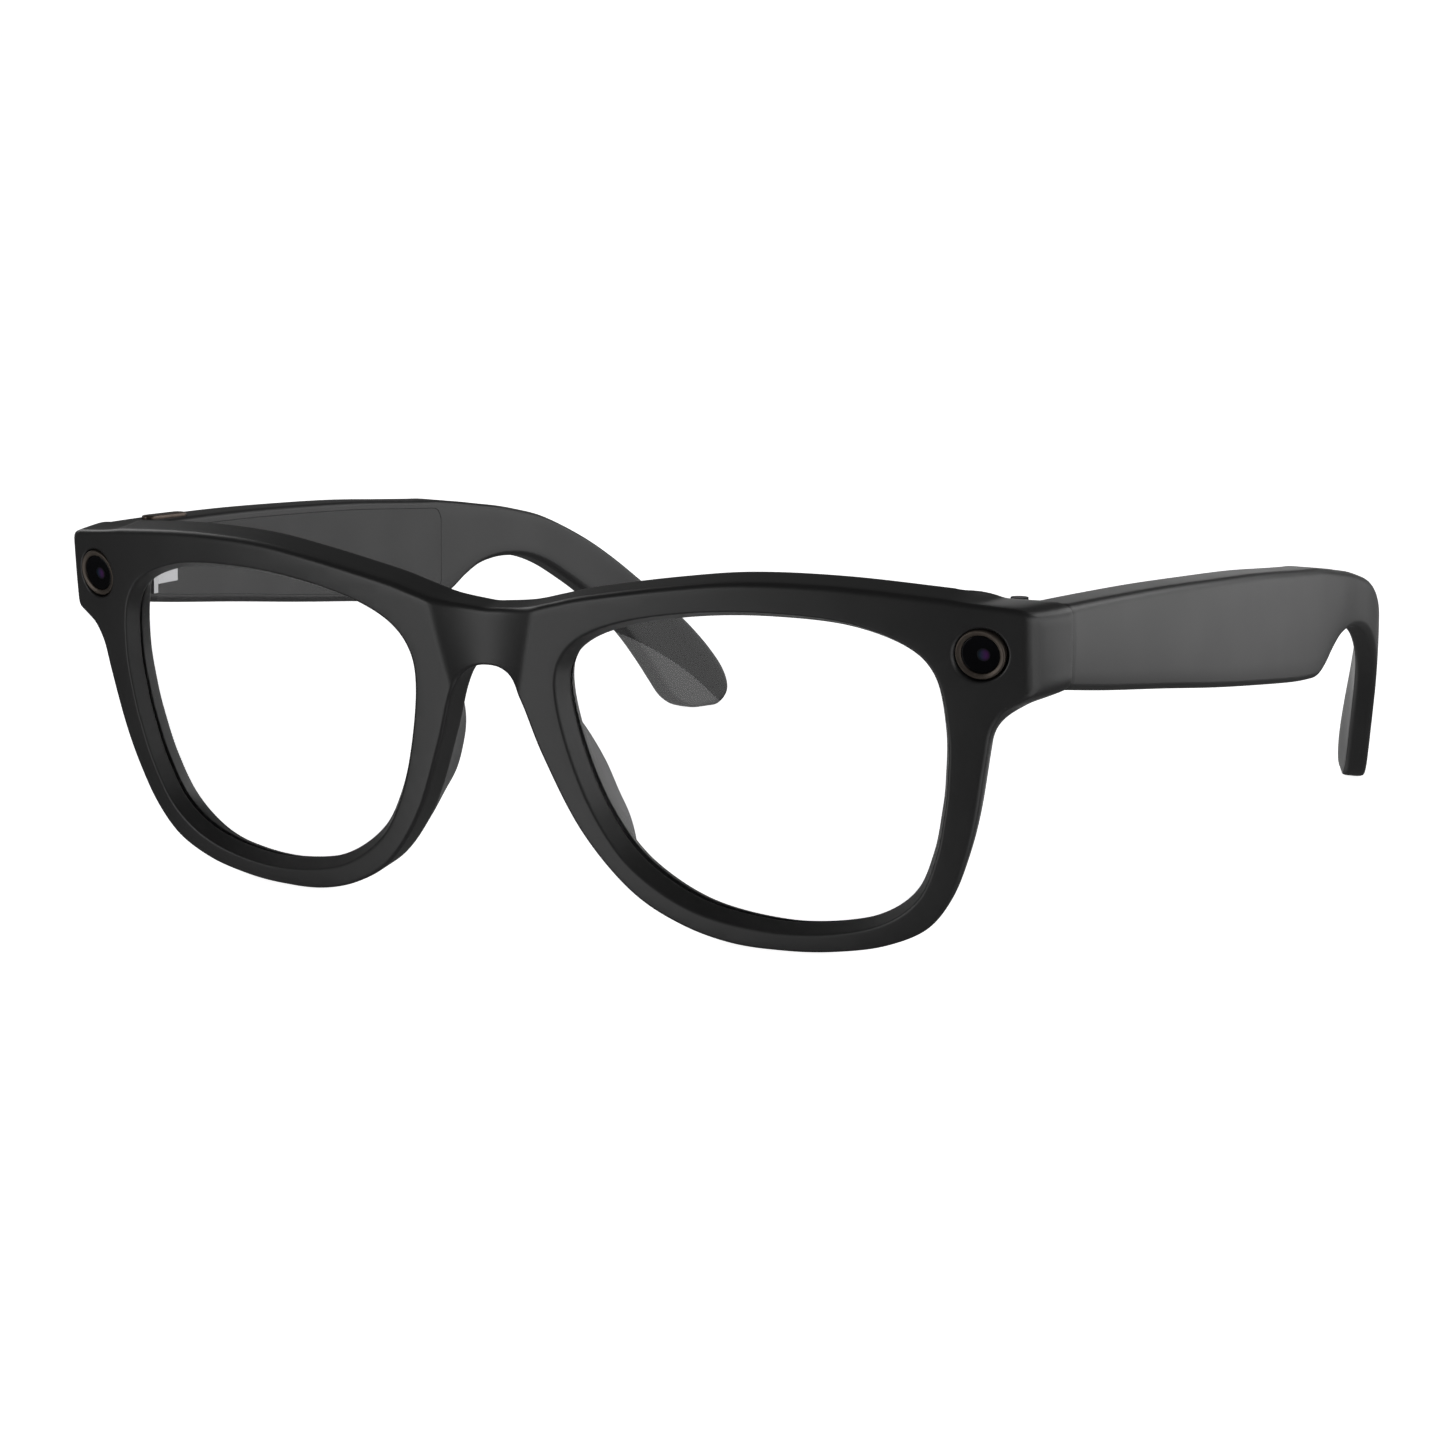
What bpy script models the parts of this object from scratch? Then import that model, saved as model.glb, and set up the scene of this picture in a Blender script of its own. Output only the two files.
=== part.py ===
"""Smart glasses: front frame with lenses, camera and capture light, two folding temples with their electronics.

Frame: +X is the wearer's left, the front faces -Y, +Z is up. The object stands on z = 0 on the lower rims and the
temple tips. All dimensions below are in millimetres.
"""

import math

import bmesh
import bpy
from mathutils import Matrix, Vector
from mathutils.geometry import delaunay_2d_cdt

MM = 0.001
GAP = 0.3  # clearance between touching pieces
MIDDLE_Y = 80.19  # the footprint's middle, behind the front's own origin

# ---- front: a wrapped, tilted slab ----------------------------------------------------------------------------
TILT = math.radians(10.7)  # the front leans forward at the top
LIFT = 22.25  # height of the front's own origin above the table
WRAP_RADIUS = 326.0  # horizontal radius of the front at its middle
WRAP_QUARTIC = 8.4e-8  # extra wrap towards the ends
BASE_RADIUS = 186.0  # vertical radius of the front
RIM_DEPTH = 5.0
SEAM_Y = 14.4  # rear face of the end pieces
END_HALF_WIDTH = 73.1  # half width at the seam
EDGE = 0.45  # broken edges of the front
BRIDGE_SCOOP = 1.25  # the bridge is hollowed by this much
# lens opening of the wearer's-left rim (front edge), counter-clockwise, in the front's own plane
LENS_OPENING = [
    (60.6, 0.0), (61.0, 6.5), (59.9, 13.4), (56.3, 17.5), (49.0, 20.2), (39.5, 21.05), (30.0, 20.7), (20.5, 19.1),
    (14.2, 16.6), (11.0, 13.0), (10.4, 8.0), (12.0, 0.0), (14.8, -7.6), (19.1, -13.9), (26.5, -18.8), (35.7, -20.85),
    (44.0, -20.7), (51.0, -18.9), (55.8, -15.3), (58.5, -9.7), (59.9, -4.2),
]
# outline of the front, wearer's-left half, from the middle of the top to the middle of the bridge arch
TOP_EDGE = [(0.0, 18.9), (5.5, 19.5), (10.0, 20.6), (15.0, 21.8), (26.0, 23.6), (36.0, 24.6), (48.0, 24.35), (61.0, 22.95), (69.5, 21.65)]
END_EDGE = [(70.8, 20.9), (71.2, 19.6), (71.2, 12.5), (70.7, 11.2), (69.4, 10.4)]
LOW_EDGE = [
    (67.4, 9.2), (66.0, 6.8), (65.2, 3.0), (63.6, -4.8), (61.9, -10.4), (59.6, -15.6), (56.2, -19.6), (51.0, -22.0),
    (45.3, -23.1), (39.0, -23.5), (31.0, -23.0), (24.0, -20.8), (17.8, -16.7), (12.0, -9.1), (7.6, 0.7), (5.3, 7.2), (3.6, 10.3),
    (1.5, 11.4), (0.0, 11.5),
]
BEVEL_DEPTH, BEVEL_IN = 2.1, 1.1  # the opening narrows to the lens
GROOVE_REAR, GROOVE_IN = 3.7, 0.05
LIP_IN, REAR_IN = 0.75, 0.35  # behind the lens the opening widens again
LENS_FRONT, LENS_REAR, LENS_IN = 2.35, 3.45, 0.35

# ---- camera (wearer's left) and capture light (wearer's right) -------------------------------------------------
EYE = (65.4, 16.3)  # centre in the front's plane, mirrored for the light
EYE_POCKET_RADIUS, EYE_POCKET_DEPTH = 3.4, 5.2
BEZEL_RADIUS, BEZEL_BORE = 3.1, 2.55
WINDOW_RADIUS = 2.25

# ---- temples ---------------------------------------------------------------------------------------------------
TEMPLE_FRONT_Y = SEAM_Y + GAP
# stations of the side view: top point (y, z), bottom point (y, z)
STATIONS = [
    ((14.7, 45.4), (14.7, 35.0)), ((26.0, 45.1), (26.0, 33.4)), ((42.0, 44.5), (42.0, 31.4)), ((58.0, 43.6), (58.0, 29.3)),
    ((73.0, 42.6), (73.0, 27.5)), ((86.0, 41.4), (86.0, 26.0)), ((92.6, 40.8), (92.8, 25.4)), ((96.2, 40.5), (96.6, 25.3)),
    ((99.4, 40.05), (99.9, 26.3)), ((102.9, 39.55), (103.3, 27.9)), ((107.3, 38.85), (107.5, 29.3)), ((112.7, 38.0), (112.6, 29.8)),
    ((118.2, 36.9), (117.4, 29.5)), ((124.4, 35.4), (122.0, 28.6)), ((130.2, 33.2), (126.6, 26.9)), ((136.0, 30.3), (131.2, 24.4)),
    ((141.1, 27.0), (135.8, 21.4)), ((146.2, 23.0), (140.4, 17.6)), ((151.1, 18.8), (144.6, 13.2)), ((155.7, 14.4), (147.9, 8.9)),
    ((159.5, 10.0), (150.4, 5.2)), ((162.1, 6.0), (152.4, 2.3)), ((162.9, 2.6), (154.4, 0.7)), ((161.3, 0.0), (156.4, 0.0)),
]
INNER_PLAN = [(8.0, 66.5), (30.0, 67.7), (55.0, 68.8), (85.0, 69.1), (115.0, 68.5), (128.0, 67.6), (138.0, 65.2), (150.0, 60.4), (168.0, 51.6)]
WIDTH_PLAN = [(8.0, 5.9), (90.0, 5.9), (108.0, 4.9), (122.0, 4.0), (135.0, 3.5), (168.0, 3.4)]
WALL = 1.15
POCKET_START, POCKET_END = 18.4, 96.0

# ---- hinges ----------------------------------------------------------------------------------------------------
HINGE = (65.2, 16.2)  # vertical axis, x and y
KNUCKLE_RADIUS, PIN_RADIUS, PIN_BORE = 1.45, 0.55, 0.85
KNUCKLES = [(36.6, 39.0), (39.3, 42.1), (42.4, 44.8)]  # z ranges, the middle one turns with the temple

# ---- button and slider -----------------------------------------------------------------------------------------
BUTTON_Y, BUTTON_LENGTH, BUTTON_WIDTH, BUTTON_PROUD, BUTTON_TRAVEL = 26.7, 8.8, 2.2, 0.5, 0.4
SWITCH_Y, SWITCH_Z, SWITCH_TRAVEL = 25.0, 38.6, 2.0


for old in list(bpy.data.objects):
    bpy.data.objects.remove(old, do_unlink=True)


# ---- materials -------------------------------------------------------------------------------------------------
def material(name, colour, roughness, metallic=0.0, alpha=1.0, transmission=0.0):
    mat = bpy.data.materials.new(name)
    mat.use_nodes = True
    shader = mat.node_tree.nodes["Principled BSDF"]
    shader.inputs["Base Color"].default_value = (*colour, 1.0)
    shader.inputs["Roughness"].default_value = roughness
    shader.inputs["Metallic"].default_value = metallic
    shader.inputs["Transmission Weight"].default_value = transmission
    shader.inputs["Alpha"].default_value = alpha
    return mat


MATTE = material("matte_frame", (0.020, 0.021, 0.021), 0.5)
COVER = material("inner_cover", (0.026, 0.027, 0.028), 0.55)
CLEAR = material("clear_lens", (0.98, 0.99, 1.0), 0.02, transmission=1.0)
DARK_GLASS = material("dark_window", (0.006, 0.006, 0.008), 0.06)
BEZEL = material("bezel_metal", (0.075, 0.062, 0.052), 0.35, metallic=0.8)
STEEL = material("hinge_steel", (0.42, 0.42, 0.43), 0.32, metallic=1.0)
GOLD = material("contact_gold", (0.72, 0.55, 0.28), 0.3, metallic=1.0)
BRONZE = material("button_bronze", (0.085, 0.062, 0.048), 0.4, metallic=0.6)
BOARD = material("circuit_board", (0.015, 0.055, 0.035), 0.45)
FLEX = material("flex_film", (0.28, 0.13, 0.03), 0.4)
CELL = material("battery_foil", (0.35, 0.36, 0.38), 0.35, metallic=0.7)
PLASTIC = material("black_plastic", (0.018, 0.018, 0.019), 0.45)
PAD = material("pad_plastic", (0.030, 0.031, 0.032), 0.42)


# ---- curves ----------------------------------------------------------------------------------------------------
def catmull(points, closed, steps):
    """Points of a Catmull-Rom spline through these points."""
    count = len(points)
    out = []
    spans = count if closed else count - 1
    for i in range(spans):
        if closed:
            a, b, c, d = (points[(i + k - 1) % count] for k in range(4))
        else:
            a, b, c, d = (points[min(max(i + k - 1, 0), count - 1)] for k in range(4))
        for s in range(steps):
            t = s / steps
            out.append(
                tuple(
                    0.5 * (2 * q + (r - p) * t + (2 * p - 5 * q + 4 * r - w) * t * t + (3 * q - p - 3 * r + w) * t**3)
                    for p, q, r, w in zip(a, b, c, d)
                )
            )
    if not closed:
        out.append(tuple(points[-1]))
    return out


def resample(points, closed, count):
    """The same curve with evenly spaced points."""
    loop = points + points[:1] if closed else points
    at = [0.0]
    for p, q in zip(loop, loop[1:]):
        at.append(at[-1] + math.dist(p, q))
    out = []
    j = 0
    for i in range(count):
        s = at[-1] * i / (count if closed else count - 1)
        while j < len(at) - 2 and at[j + 1] < s:
            j += 1
        span = at[j + 1] - at[j]
        t = (s - at[j]) / span if span else 0.0
        out.append(tuple(p + (q - p) * t for p, q in zip(loop[j], loop[j + 1])))
    return out


def offset(loop, distance):
    """A counter-clockwise loop moved inwards by this distance."""
    count = len(loop)
    out = []
    for i, (x, y) in enumerate(loop):
        (ax, ay), (bx, by) = loop[i - 1], loop[(i + 1) % count]
        tx, ty = bx - ax, by - ay
        size = math.hypot(tx, ty)
        out.append((x - ty / size * distance, y + tx / size * distance))
    return out


def along(table, x):
    """A smooth value read from a table of (x, value) pairs."""
    xs = [row[0] for row in table]
    i = max(0, min(len(table) - 2, sum(1 for v in xs if v <= x) - 1))
    x0, y0 = table[i]
    x1, y1 = table[i + 1]
    slope = [(table[k + 1][1] - table[k][1]) / (table[k + 1][0] - table[k][0]) for k in range(len(table) - 1)]

    def tangent(k):
        if k in (0, len(table) - 1):
            return slope[min(k, len(slope) - 1)]
        return 0.5 * (slope[k - 1] + slope[k])

    h = x1 - x0
    t = (x - x0) / h
    if t > 1:
        return y1 + tangent(i + 1) * (x - x1)
    return (
        (2 * t**3 - 3 * t**2 + 1) * y0 + (t**3 - 2 * t**2 + t) * h * tangent(i)
        + (-2 * t**3 + 3 * t**2) * y1 + (t**3 - t**2) * h * tangent(i + 1)
    )


def smooth(x, low, high):
    t = min(1.0, max(0.0, (x - low) / (high - low)))
    return t * t * (3 - 2 * t)


def inside(point, loop):
    x, y = point
    odd = False
    for (ax, ay), (bx, by) in zip(loop, loop[1:] + loop[:1]):
        if (ay > y) != (by > y) and x < (bx - ax) * (y - ay) / (by - ay) + ax:
            odd = not odd
    return odd


# ---- the front's surface ---------------------------------------------------------------------------------------
def scoop(u, v):
    return BRIDGE_SCOOP * max(0.0, 1.0 - (u / scoop_half(v)) ** 2)


def scoop_half(v):
    return 5.1 + 0.25 * (min(max(v, 7.0), 21.0) - 9.5)


def wrap(u, v):
    return u * u / (2 * WRAP_RADIUS) + WRAP_QUARTIC * u**4 + v * v / (2 * BASE_RADIUS)


def front_to_world(u, y, v):
    """World point of a point in the front's own axes; the rims end in small flats where they stand on the table."""
    z = y * math.sin(TILT) + v * math.cos(TILT) + LIFT
    return Vector((u, y * math.cos(TILT) - v * math.sin(TILT), max(z, 0.0)))


def level_at(u, v):
    """The end pieces run back level, and rise a little on their outer side, where the rims go square to the tilted front."""
    return (1.0 - 0.4 * smooth(abs(u), 65.0, 71.0)) * smooth(abs(u), 55.0, 66.0) * smooth(v, 5.5, 10.5)


def depth_at(u, v):
    """How far the frame reaches behind its front surface."""
    level = level_at(u, v)
    seam = (SEAM_Y + v * math.sin(TILT) - wrap(u, v) * math.cos(TILT)) / (math.cos(TILT) + level * math.sin(TILT) * math.tan(TILT))
    weight = smooth(abs(u), 60.8, 64.0) * smooth(v, 5.5, 10.5)
    return RIM_DEPTH + (seam - RIM_DEPTH) * weight


def taper(u, v):
    """How far the rims draw in towards the back on their outer sides."""
    return 1.1 * smooth(abs(u), 30.0, 54.0) * (1 - smooth(v, 4.0, 9.0))


def swell(u):
    return (END_HALF_WIDTH - 71.2) * smooth(abs(u), 66.0, 71.0)


def on_front(u, v, share):
    """World point at this share of the frame's depth, on its outer wall or its faces; the end pieces run back level."""
    d = depth_at(u, v) * share
    hollow = scoop(u, v) * (1 - share)
    level = d * math.tan(TILT) * level_at(u, v)
    return front_to_world(u + math.copysign(swell(u) * (1 - (1 - share) ** 2), u), wrap(u, v) + d + hollow, v - level)


def behind_front(u, v, d):
    return front_to_world(u, wrap(u, v) + d, v)


FRONT_AXES = Matrix.Rotation(TILT, 4, "X")


# ---- meshes ----------------------------------------------------------------------------------------------------
def make_object(name, bm, mat, flip=False):
    bmesh.ops.recalc_face_normals(bm, faces=bm.faces[:])
    if flip:
        bmesh.ops.reverse_faces(bm, faces=bm.faces[:])
    mesh = bpy.data.meshes.new(name)
    bm.to_mesh(mesh)
    bm.free()
    obj = bpy.data.objects.new(name, mesh)
    bpy.context.scene.collection.objects.link(obj)
    if mat:
        mesh.materials.append(mat)
    return obj


def add_loop(bm, points):
    return [bm.verts.new(Vector(p) * MM) for p in points]


def bridge(bm, a, b):
    for i in range(len(a)):
        j = (i + 1) % len(a)
        bm.faces.new((a[i], a[j], b[j], b[i]))


def fill(bm, loops, extra, lift):
    """Fills the first loop around the holes of the others; each loop is (2-D points, vertices)."""
    flat, verts, edges = [], [], []
    for points, made in loops:
        start = len(flat)
        flat += [Vector(p) for p in points]
        verts += made
        count = len(points)
        edges += [(start + i, start + (i + 1) % count) for i in range(count)]
    outer = [tuple(p) for p in loops[0][0]]
    holes = [[tuple(p) for p in points] for points, _ in loops[1:]]
    for p in extra:
        if inside(p, offset(outer, 1.0)) and not any(inside(p, offset(h, -1.0)) for h in holes):
            flat.append(Vector(p))
            verts.append(bm.verts.new(lift(*p) * MM))
    coords, _, faces, origins, _, _ = delaunay_2d_cdt(flat, edges, [], 0, 1e-6)
    for face in faces:
        centre = sum((coords[i] for i in face), Vector((0, 0))) / 3
        if inside(centre, outer) and not any(inside(centre, h) for h in holes):
            bm.faces.new([verts[origins[i][0]] for i in face])


def mirror_loop(loop):
    return [(-x, y) for x, y in reversed(loop)]


def cut(obj, cutter):
    cutter.hide_render = True
    cutter.display_type = "WIRE"
    cutter.hide_viewport = True
    mod = obj.modifiers.new(cutter.name, "BOOLEAN")
    mod.operation = "DIFFERENCE"
    mod.solver = "EXACT"
    mod.object = cutter


def join(obj, other):
    other.hide_render = True
    other.display_type = "WIRE"
    other.hide_viewport = True
    mod = obj.modifiers.new(other.name, "BOOLEAN")
    mod.operation = "UNION"
    mod.solver = "EXACT"
    mod.object = other


def prism(name, loop, low, high, mat=None, place=None):
    """A closed extrusion of a 2-D loop; place(x, y, t) gives the point for t = low or high."""
    bm = bmesh.new()
    place = place or (lambda x, y, t: (x, y, t))
    a = add_loop(bm, [place(x, y, low) for x, y in loop])
    b = add_loop(bm, [place(x, y, high) for x, y in loop])
    bridge(bm, a, b)
    bm.faces.new(a)
    bm.faces.new(b)
    return make_object(name, bm, mat)


def block(name, low, high, mat=None, bevel=0.0):
    loop = [(low[0], low[1]), (high[0], low[1]), (high[0], high[1]), (low[0], high[1])]
    obj = prism(name, loop, low[2], high[2], mat)
    if bevel:
        mod = obj.modifiers.new("edges", "BEVEL")
        mod.width = bevel * MM
        mod.segments = 1
    return obj


def circle(radius, count, centre=(0.0, 0.0)):
    return [
        (centre[0] + radius * math.cos(2 * math.pi * i / count), centre[1] + radius * math.sin(2 * math.pi * i / count))
        for i in range(count)
    ]


def stadium(length, width, count=6):
    r = width / 2
    out = []
    for side in (0, 1):
        for i in range(count + 1):
            a = -math.pi / 2 + math.pi * i / count + math.pi * side
            out.append(((length / 2 - r) * (1 - 2 * side) + r * math.cos(a), r * math.sin(a)))
    return out


def turned(name, profile, segments, mat, matrix):
    """A closed turned solid: profile is (radius, height) from the axis round to the axis, or a closed ring."""
    bm = bmesh.new()
    ring = profile[0][0] > 1e-6
    rows = []
    for radius, height in profile:
        if radius < 1e-6:
            rows.append([bm.verts.new(matrix @ Vector((0, 0, height * MM)))])
        else:
            rows.append(
                [
                    bm.verts.new(matrix @ Vector((radius * MM * math.cos(a), radius * MM * math.sin(a), height * MM)))
                    for a in (2 * math.pi * i / segments for i in range(segments))
                ]
            )
    pairs = list(zip(rows, rows[1:])) + ([(rows[-1], rows[0])] if ring else [])
    for a, b in pairs:
        for i in range(segments):
            j = (i + 1) % segments
            face = [a[i % len(a)], a[j % len(a)], b[j % len(b)], b[i % len(b)]]
            face = [v for k, v in enumerate(face) if v not in face[:k]]
            if len(face) > 2:
                bm.faces.new(face)
    obj = make_object(name, bm, mat)
    obj.data.shade_smooth()
    obj.data.set_sharp_from_angle(angle=math.radians(35))
    return obj


# ---- front frame -----------------------------------------------------------------------------------------------
half = catmull(TOP_EDGE, False, 8) + catmull(END_EDGE, False, 4) + catmull(LOW_EDGE, False, 8)
outline_half = resample(half, False, 97)
outline = list(reversed(outline_half[1:-1])) + [(-x, y) for x, y in outline_half]
outline = [p for p in outline]  # counter-clockwise seen from the front's -Y side: from the arch round the wearer's left
opening_left = resample(catmull(LENS_OPENING, True, 8), True, 84)
opening_right = mirror_loop(opening_left)

grid = [(x * 4.0, y * 4.0) for x in range(-18, 19) for y in range(-6, 7) if abs(x) > 2 or y < 2]
grid += [(scoop_half(v) * k / 2, v) for v in (12.6, 14.6, 16.6) for k in (-2, -1, 0, 1, 2)]
bm = bmesh.new()
outer_rows = []
for inset, share, drawn in ((EDGE, 0.0, 0.0), (0.0, 0.09, 0.0), (0.0, 0.45, 0.35), (0.0, 0.9, 0.9), (EDGE, 1.0, 1.0)):
    flat = offset(outline, inset)
    flat = [(p[0] + (q[0] - p[0]) * taper(*p) * drawn, p[1] + (q[1] - p[1]) * taper(*p) * drawn) for p, q in zip(flat, offset(flat, 1.0))]
    outer_rows.append((flat, add_loop(bm, [on_front(u, v, share) for u, v in flat])))
for (_, a), (_, b) in zip(outer_rows, outer_rows[1:]):
    bridge(bm, a, b)
hole_rows = {}
for side, loop in (("left", opening_left), ("right", opening_right)):
    rows = []
    for inset, d in ((0.0, 0.0), (BEVEL_IN, BEVEL_DEPTH), (GROOVE_IN, BEVEL_DEPTH), (GROOVE_IN, GROOVE_REAR), (LIP_IN, GROOVE_REAR)):
        flat = offset(loop, inset)
        rows.append((flat, add_loop(bm, [behind_front(u, v, d) for u, v in flat])))
    flat = offset(loop, REAR_IN)
    rows.append((flat, add_loop(bm, [on_front(u, v, 1.0) for u, v in flat])))
    for (_, a), (_, b) in zip(rows, rows[1:]):
        bridge(bm, a, b)
    hole_rows[side] = rows
fill(bm, [outer_rows[0], hole_rows["left"][0], hole_rows["right"][0]], grid, lambda u, v: on_front(u, v, 0.0))
fill(bm, [outer_rows[-1], hole_rows["left"][-1], hole_rows["right"][-1]], grid, lambda u, v: on_front(u, v, 1.0))
front_frame = make_object("front_frame", bm, MATTE)

# pockets of the camera and of the capture light, bored straight along the front's own axis
EYE_SURFACE = wrap(*EYE)


def eye_matrix(side, depth):
    at = front_to_world(side * EYE[0], EYE_SURFACE + depth, EYE[1]) * MM
    return Matrix.Translation(at) @ FRONT_AXES @ Matrix.Rotation(math.radians(-90), 4, "X")


for side, name in ((1, "camera"), (-1, "light")):
    cutter = turned(
        f"pocket_{name}", [(0, -6.0), (EYE_POCKET_RADIUS, -6.0), (EYE_POCKET_RADIUS, EYE_POCKET_DEPTH), (0, EYE_POCKET_DEPTH)],
        28, None, eye_matrix(side, 0.0),
    )
    cut(front_frame, cutter)

# channel along the brow for the flex, closed by the rear cover
BROW_HALF = [(0.0, 16.9), (7.0, 17.7), (13.0, 19.6), (20.0, 21.1), (28.0, 22.4), (36.0, 22.95), (43.0, 22.8), (50.0, 22.0), (56.5, 20.7), (60.0, 19.0)]
brow_right = resample(catmull(BROW_HALF, False, 6), False, 25)
brow_path = [(-u, v) for u, v in reversed(brow_right[1:])] + brow_right


def ribbon(name, path, half_width, d0, d1, mat=None):
    """A flat strip that follows a path in the front's plane, between two depths behind its surface."""
    bm = bmesh.new()
    rows = []
    for i, (u, v) in enumerate(path):
        (ax, ay), (bx, by) = path[max(i - 1, 0)], path[min(i + 1, len(path) - 1)]
        size = math.hypot(bx - ax, by - ay)
        nx, ny = -(by - ay) / size * half_width, (bx - ax) / size * half_width
        rows.append(
            add_loop(bm, [
                front_to_world(u + s * nx, wrap(u, v) + d, v + s * ny) for s, d in ((-1, d0), (1, d0), (1, d1), (-1, d1))
            ])
        )
    for a, b in zip(rows, rows[1:]):
        bridge(bm, a, b)
    bm.faces.new(rows[0])
    bm.faces.new(rows[-1])
    return make_object(name, bm, mat)


cut(front_frame, ribbon("brow_channel", brow_path, 1.0, 3.1, 8.0))
tunnel = [(-67.0, 15.9), (-63.5, 16.9), (-61.2, 18.2)] + brow_path[1:-1] + [(61.2, 18.2), (63.5, 16.9), (67.0, 15.9)]
cut(front_frame, ribbon("flex_tunnel", tunnel, 0.85, 3.1, 4.3))
cover_path = brow_path[1:-1]
ribbon("rear_brow_cover", cover_path, 0.7, 4.25, RIM_DEPTH - 0.05, COVER)
flex_path = [(-61.6, 17.95), (-61.0, 18.3)] + brow_path[2:-2] + [(61.0, 18.3), (61.6, 17.95)]
ribbon("front_flex", flex_path, 0.5, 3.5, 3.75, FLEX)

# lenses
for side, loop in (("left", opening_left), ("right", opening_right)):
    bm = bmesh.new()
    flat = offset(loop, LENS_IN)
    slim = offset(loop, LENS_IN + 0.35)
    rows = [
        (points, add_loop(bm, [behind_front(u, v, d) for u, v in points]))
        for points, d in ((slim, LENS_FRONT), (flat, LENS_FRONT + 0.35), (flat, LENS_REAR - 0.35), (slim, LENS_REAR))
    ]
    for (_, a), (_, b) in zip(rows, rows[1:]):
        bridge(bm, a, b)
    dots = [(x * 6.0, y * 6.0) for x in range(-12, 13) for y in range(-4, 5)]
    fill(bm, [rows[0]], dots, lambda u, v: behind_front(u, v, LENS_FRONT))
    fill(bm, [rows[-1]], dots, lambda u, v: behind_front(u, v, LENS_REAR))
    make_object(f"lens_{side}", bm, CLEAR)

# camera and capture light
for side, name in ((1, "camera"), (-1, "light")):
    turned(
        f"{name}_bezel", [(BEZEL_BORE, 0.25), (BEZEL_BORE + 0.2, 0.0), (BEZEL_RADIUS - 0.2, 0.0), (BEZEL_RADIUS, 0.2), (BEZEL_RADIUS, 1.5), (BEZEL_BORE, 1.5)],
        28, BEZEL, eye_matrix(side, 0.0),
    )
    turned(f"{name}_window", [(0, 0.3), (WINDOW_RADIUS - 0.15, 0.35), (WINDOW_RADIUS, 0.5), (WINDOW_RADIUS, 1.4), (0, 1.4)], 28, DARK_GLASS, eye_matrix(side, 0.0))
turned("camera_module", [(0, 1.8), (1.6, 1.8), (1.9, 2.1), (1.9, 3.2), (2.7, 3.2), (2.7, 4.7), (0, 4.7)], 20, PLASTIC, eye_matrix(1, 0.0))
turned("light_board", [(0, 1.8), (1.2, 1.8), (1.2, 2.4), (2.6, 2.4), (2.6, 3.0), (0, 3.0)], 20, BOARD, eye_matrix(-1, 0.0))

# nose microphone and charging contacts on the back of the bridge
BRIDGE_REAR = RIM_DEPTH


def bridge_box(name, u0, u1, v0, v1, d0, d1, mat=None):
    loop = [(u0, v0), (u1, v0), (u1, v1), (u0, v1)]
    return prism(name, loop, d0, d1, mat, place=lambda u, v, d: front_to_world(u, d, v))


cut(front_frame, bridge_box("mic_pocket", -1.3, 1.3, 12.9, 15.2, 3.5, 8.0))
bridge_box("nose_mic", -1.0, 1.0, 13.2, 14.9, 3.8, 4.75, PLASTIC)
for side, name in ((1, "left"), (-1, "right")):
    u0, u1 = sorted((side * 2.0, side * 5.0))
    cut(front_frame, bridge_box(f"contact_pocket_{name}", u0 - 0.3, u1 + 0.3, 13.0, 15.2, 4.0, 8.0))
    bridge_box(f"charging_contact_{name}", u0, u1, 13.3, 14.9, 4.3, 5.2, GOLD)

# nose pads: each is a wedge behind the nose side of its rim, as wide as the rim at its root, and leans away from the nose
PAD_TOP, PAD_FALL, PAD_REACH, PAD_EDGE = 4.4, 18.2, 4.7, 1.3
PAD_REAR = [(-14.5, 17.2), (-12.4, 16.2), (-9.4, 14.7), (-6.5, 13.0), (-2.8, 11.5), (0.4, 10.3), (4.6, 9.0)]  # v, u of the rear edge
RIM_NOSE = [(-16.7, 17.8), (-9.1, 12.0), (0.7, 7.6), (7.2, 5.3)]
RIM_LENS = [(-18.8, 26.5), (-13.9, 19.1), (-7.6, 14.8), (0.0, 12.0), (8.0, 10.4)]
for side, name in ((1, "left"), (-1, "right")):
    bm = bmesh.new()
    rows = []
    count = 16
    for i in range(count + 1):
        t = i / count
        v = PAD_TOP - PAD_FALL * t
        grow = math.sin(math.pi * (0.02 + 0.96 * t)) ** 0.6
        reach = PAD_REACH * grow
        rear = along(PAD_REAR, v)
        low = along(RIM_NOSE, v) + 0.5 + 0.7 * (1 - grow)
        high = along(RIM_LENS, v) - 0.2 - 0.9 * (1 - grow)
        y0 = wrap(0.5 * (low + high), v) + RIM_DEPTH + GAP
        profile = [(low, 0.0), (high, 0.0), (0.5 * (high + rear) + 0.2, 0.5 * reach), (rear, reach - 0.35 * grow), (rear - 0.35, reach), (rear - PAD_EDGE + 0.35, reach), (rear - PAD_EDGE, reach - 0.35 * grow), (0.5 * (low + rear - PAD_EDGE), 0.5 * reach)]
        rows.append(add_loop(bm, [front_to_world(side * u, y0 + q, v) for u, q in profile]))
    for a, b in zip(rows, rows[1:]):
        bridge(bm, a, b)
    bm.faces.new(rows[0])
    bm.faces.new(rows[-1])
    make_object(f"nose_pad_{name}", bm, PAD)


# ---- temples ---------------------------------------------------------------------------------------------------
pairs = catmull([(*top, *low) for top, low in STATIONS], False, 3)


def inner_x(y):
    return along(INNER_PLAN, y)


def outer_x(y):
    return along(INNER_PLAN, y) + along(WIDTH_PLAN, y)


def side_point(row, h):
    """A point between the bottom (h = 0) and the top (h = 1) of a station."""
    return row[2] + (row[0] - row[2]) * h, row[3] + (row[1] - row[3]) * h


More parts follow.
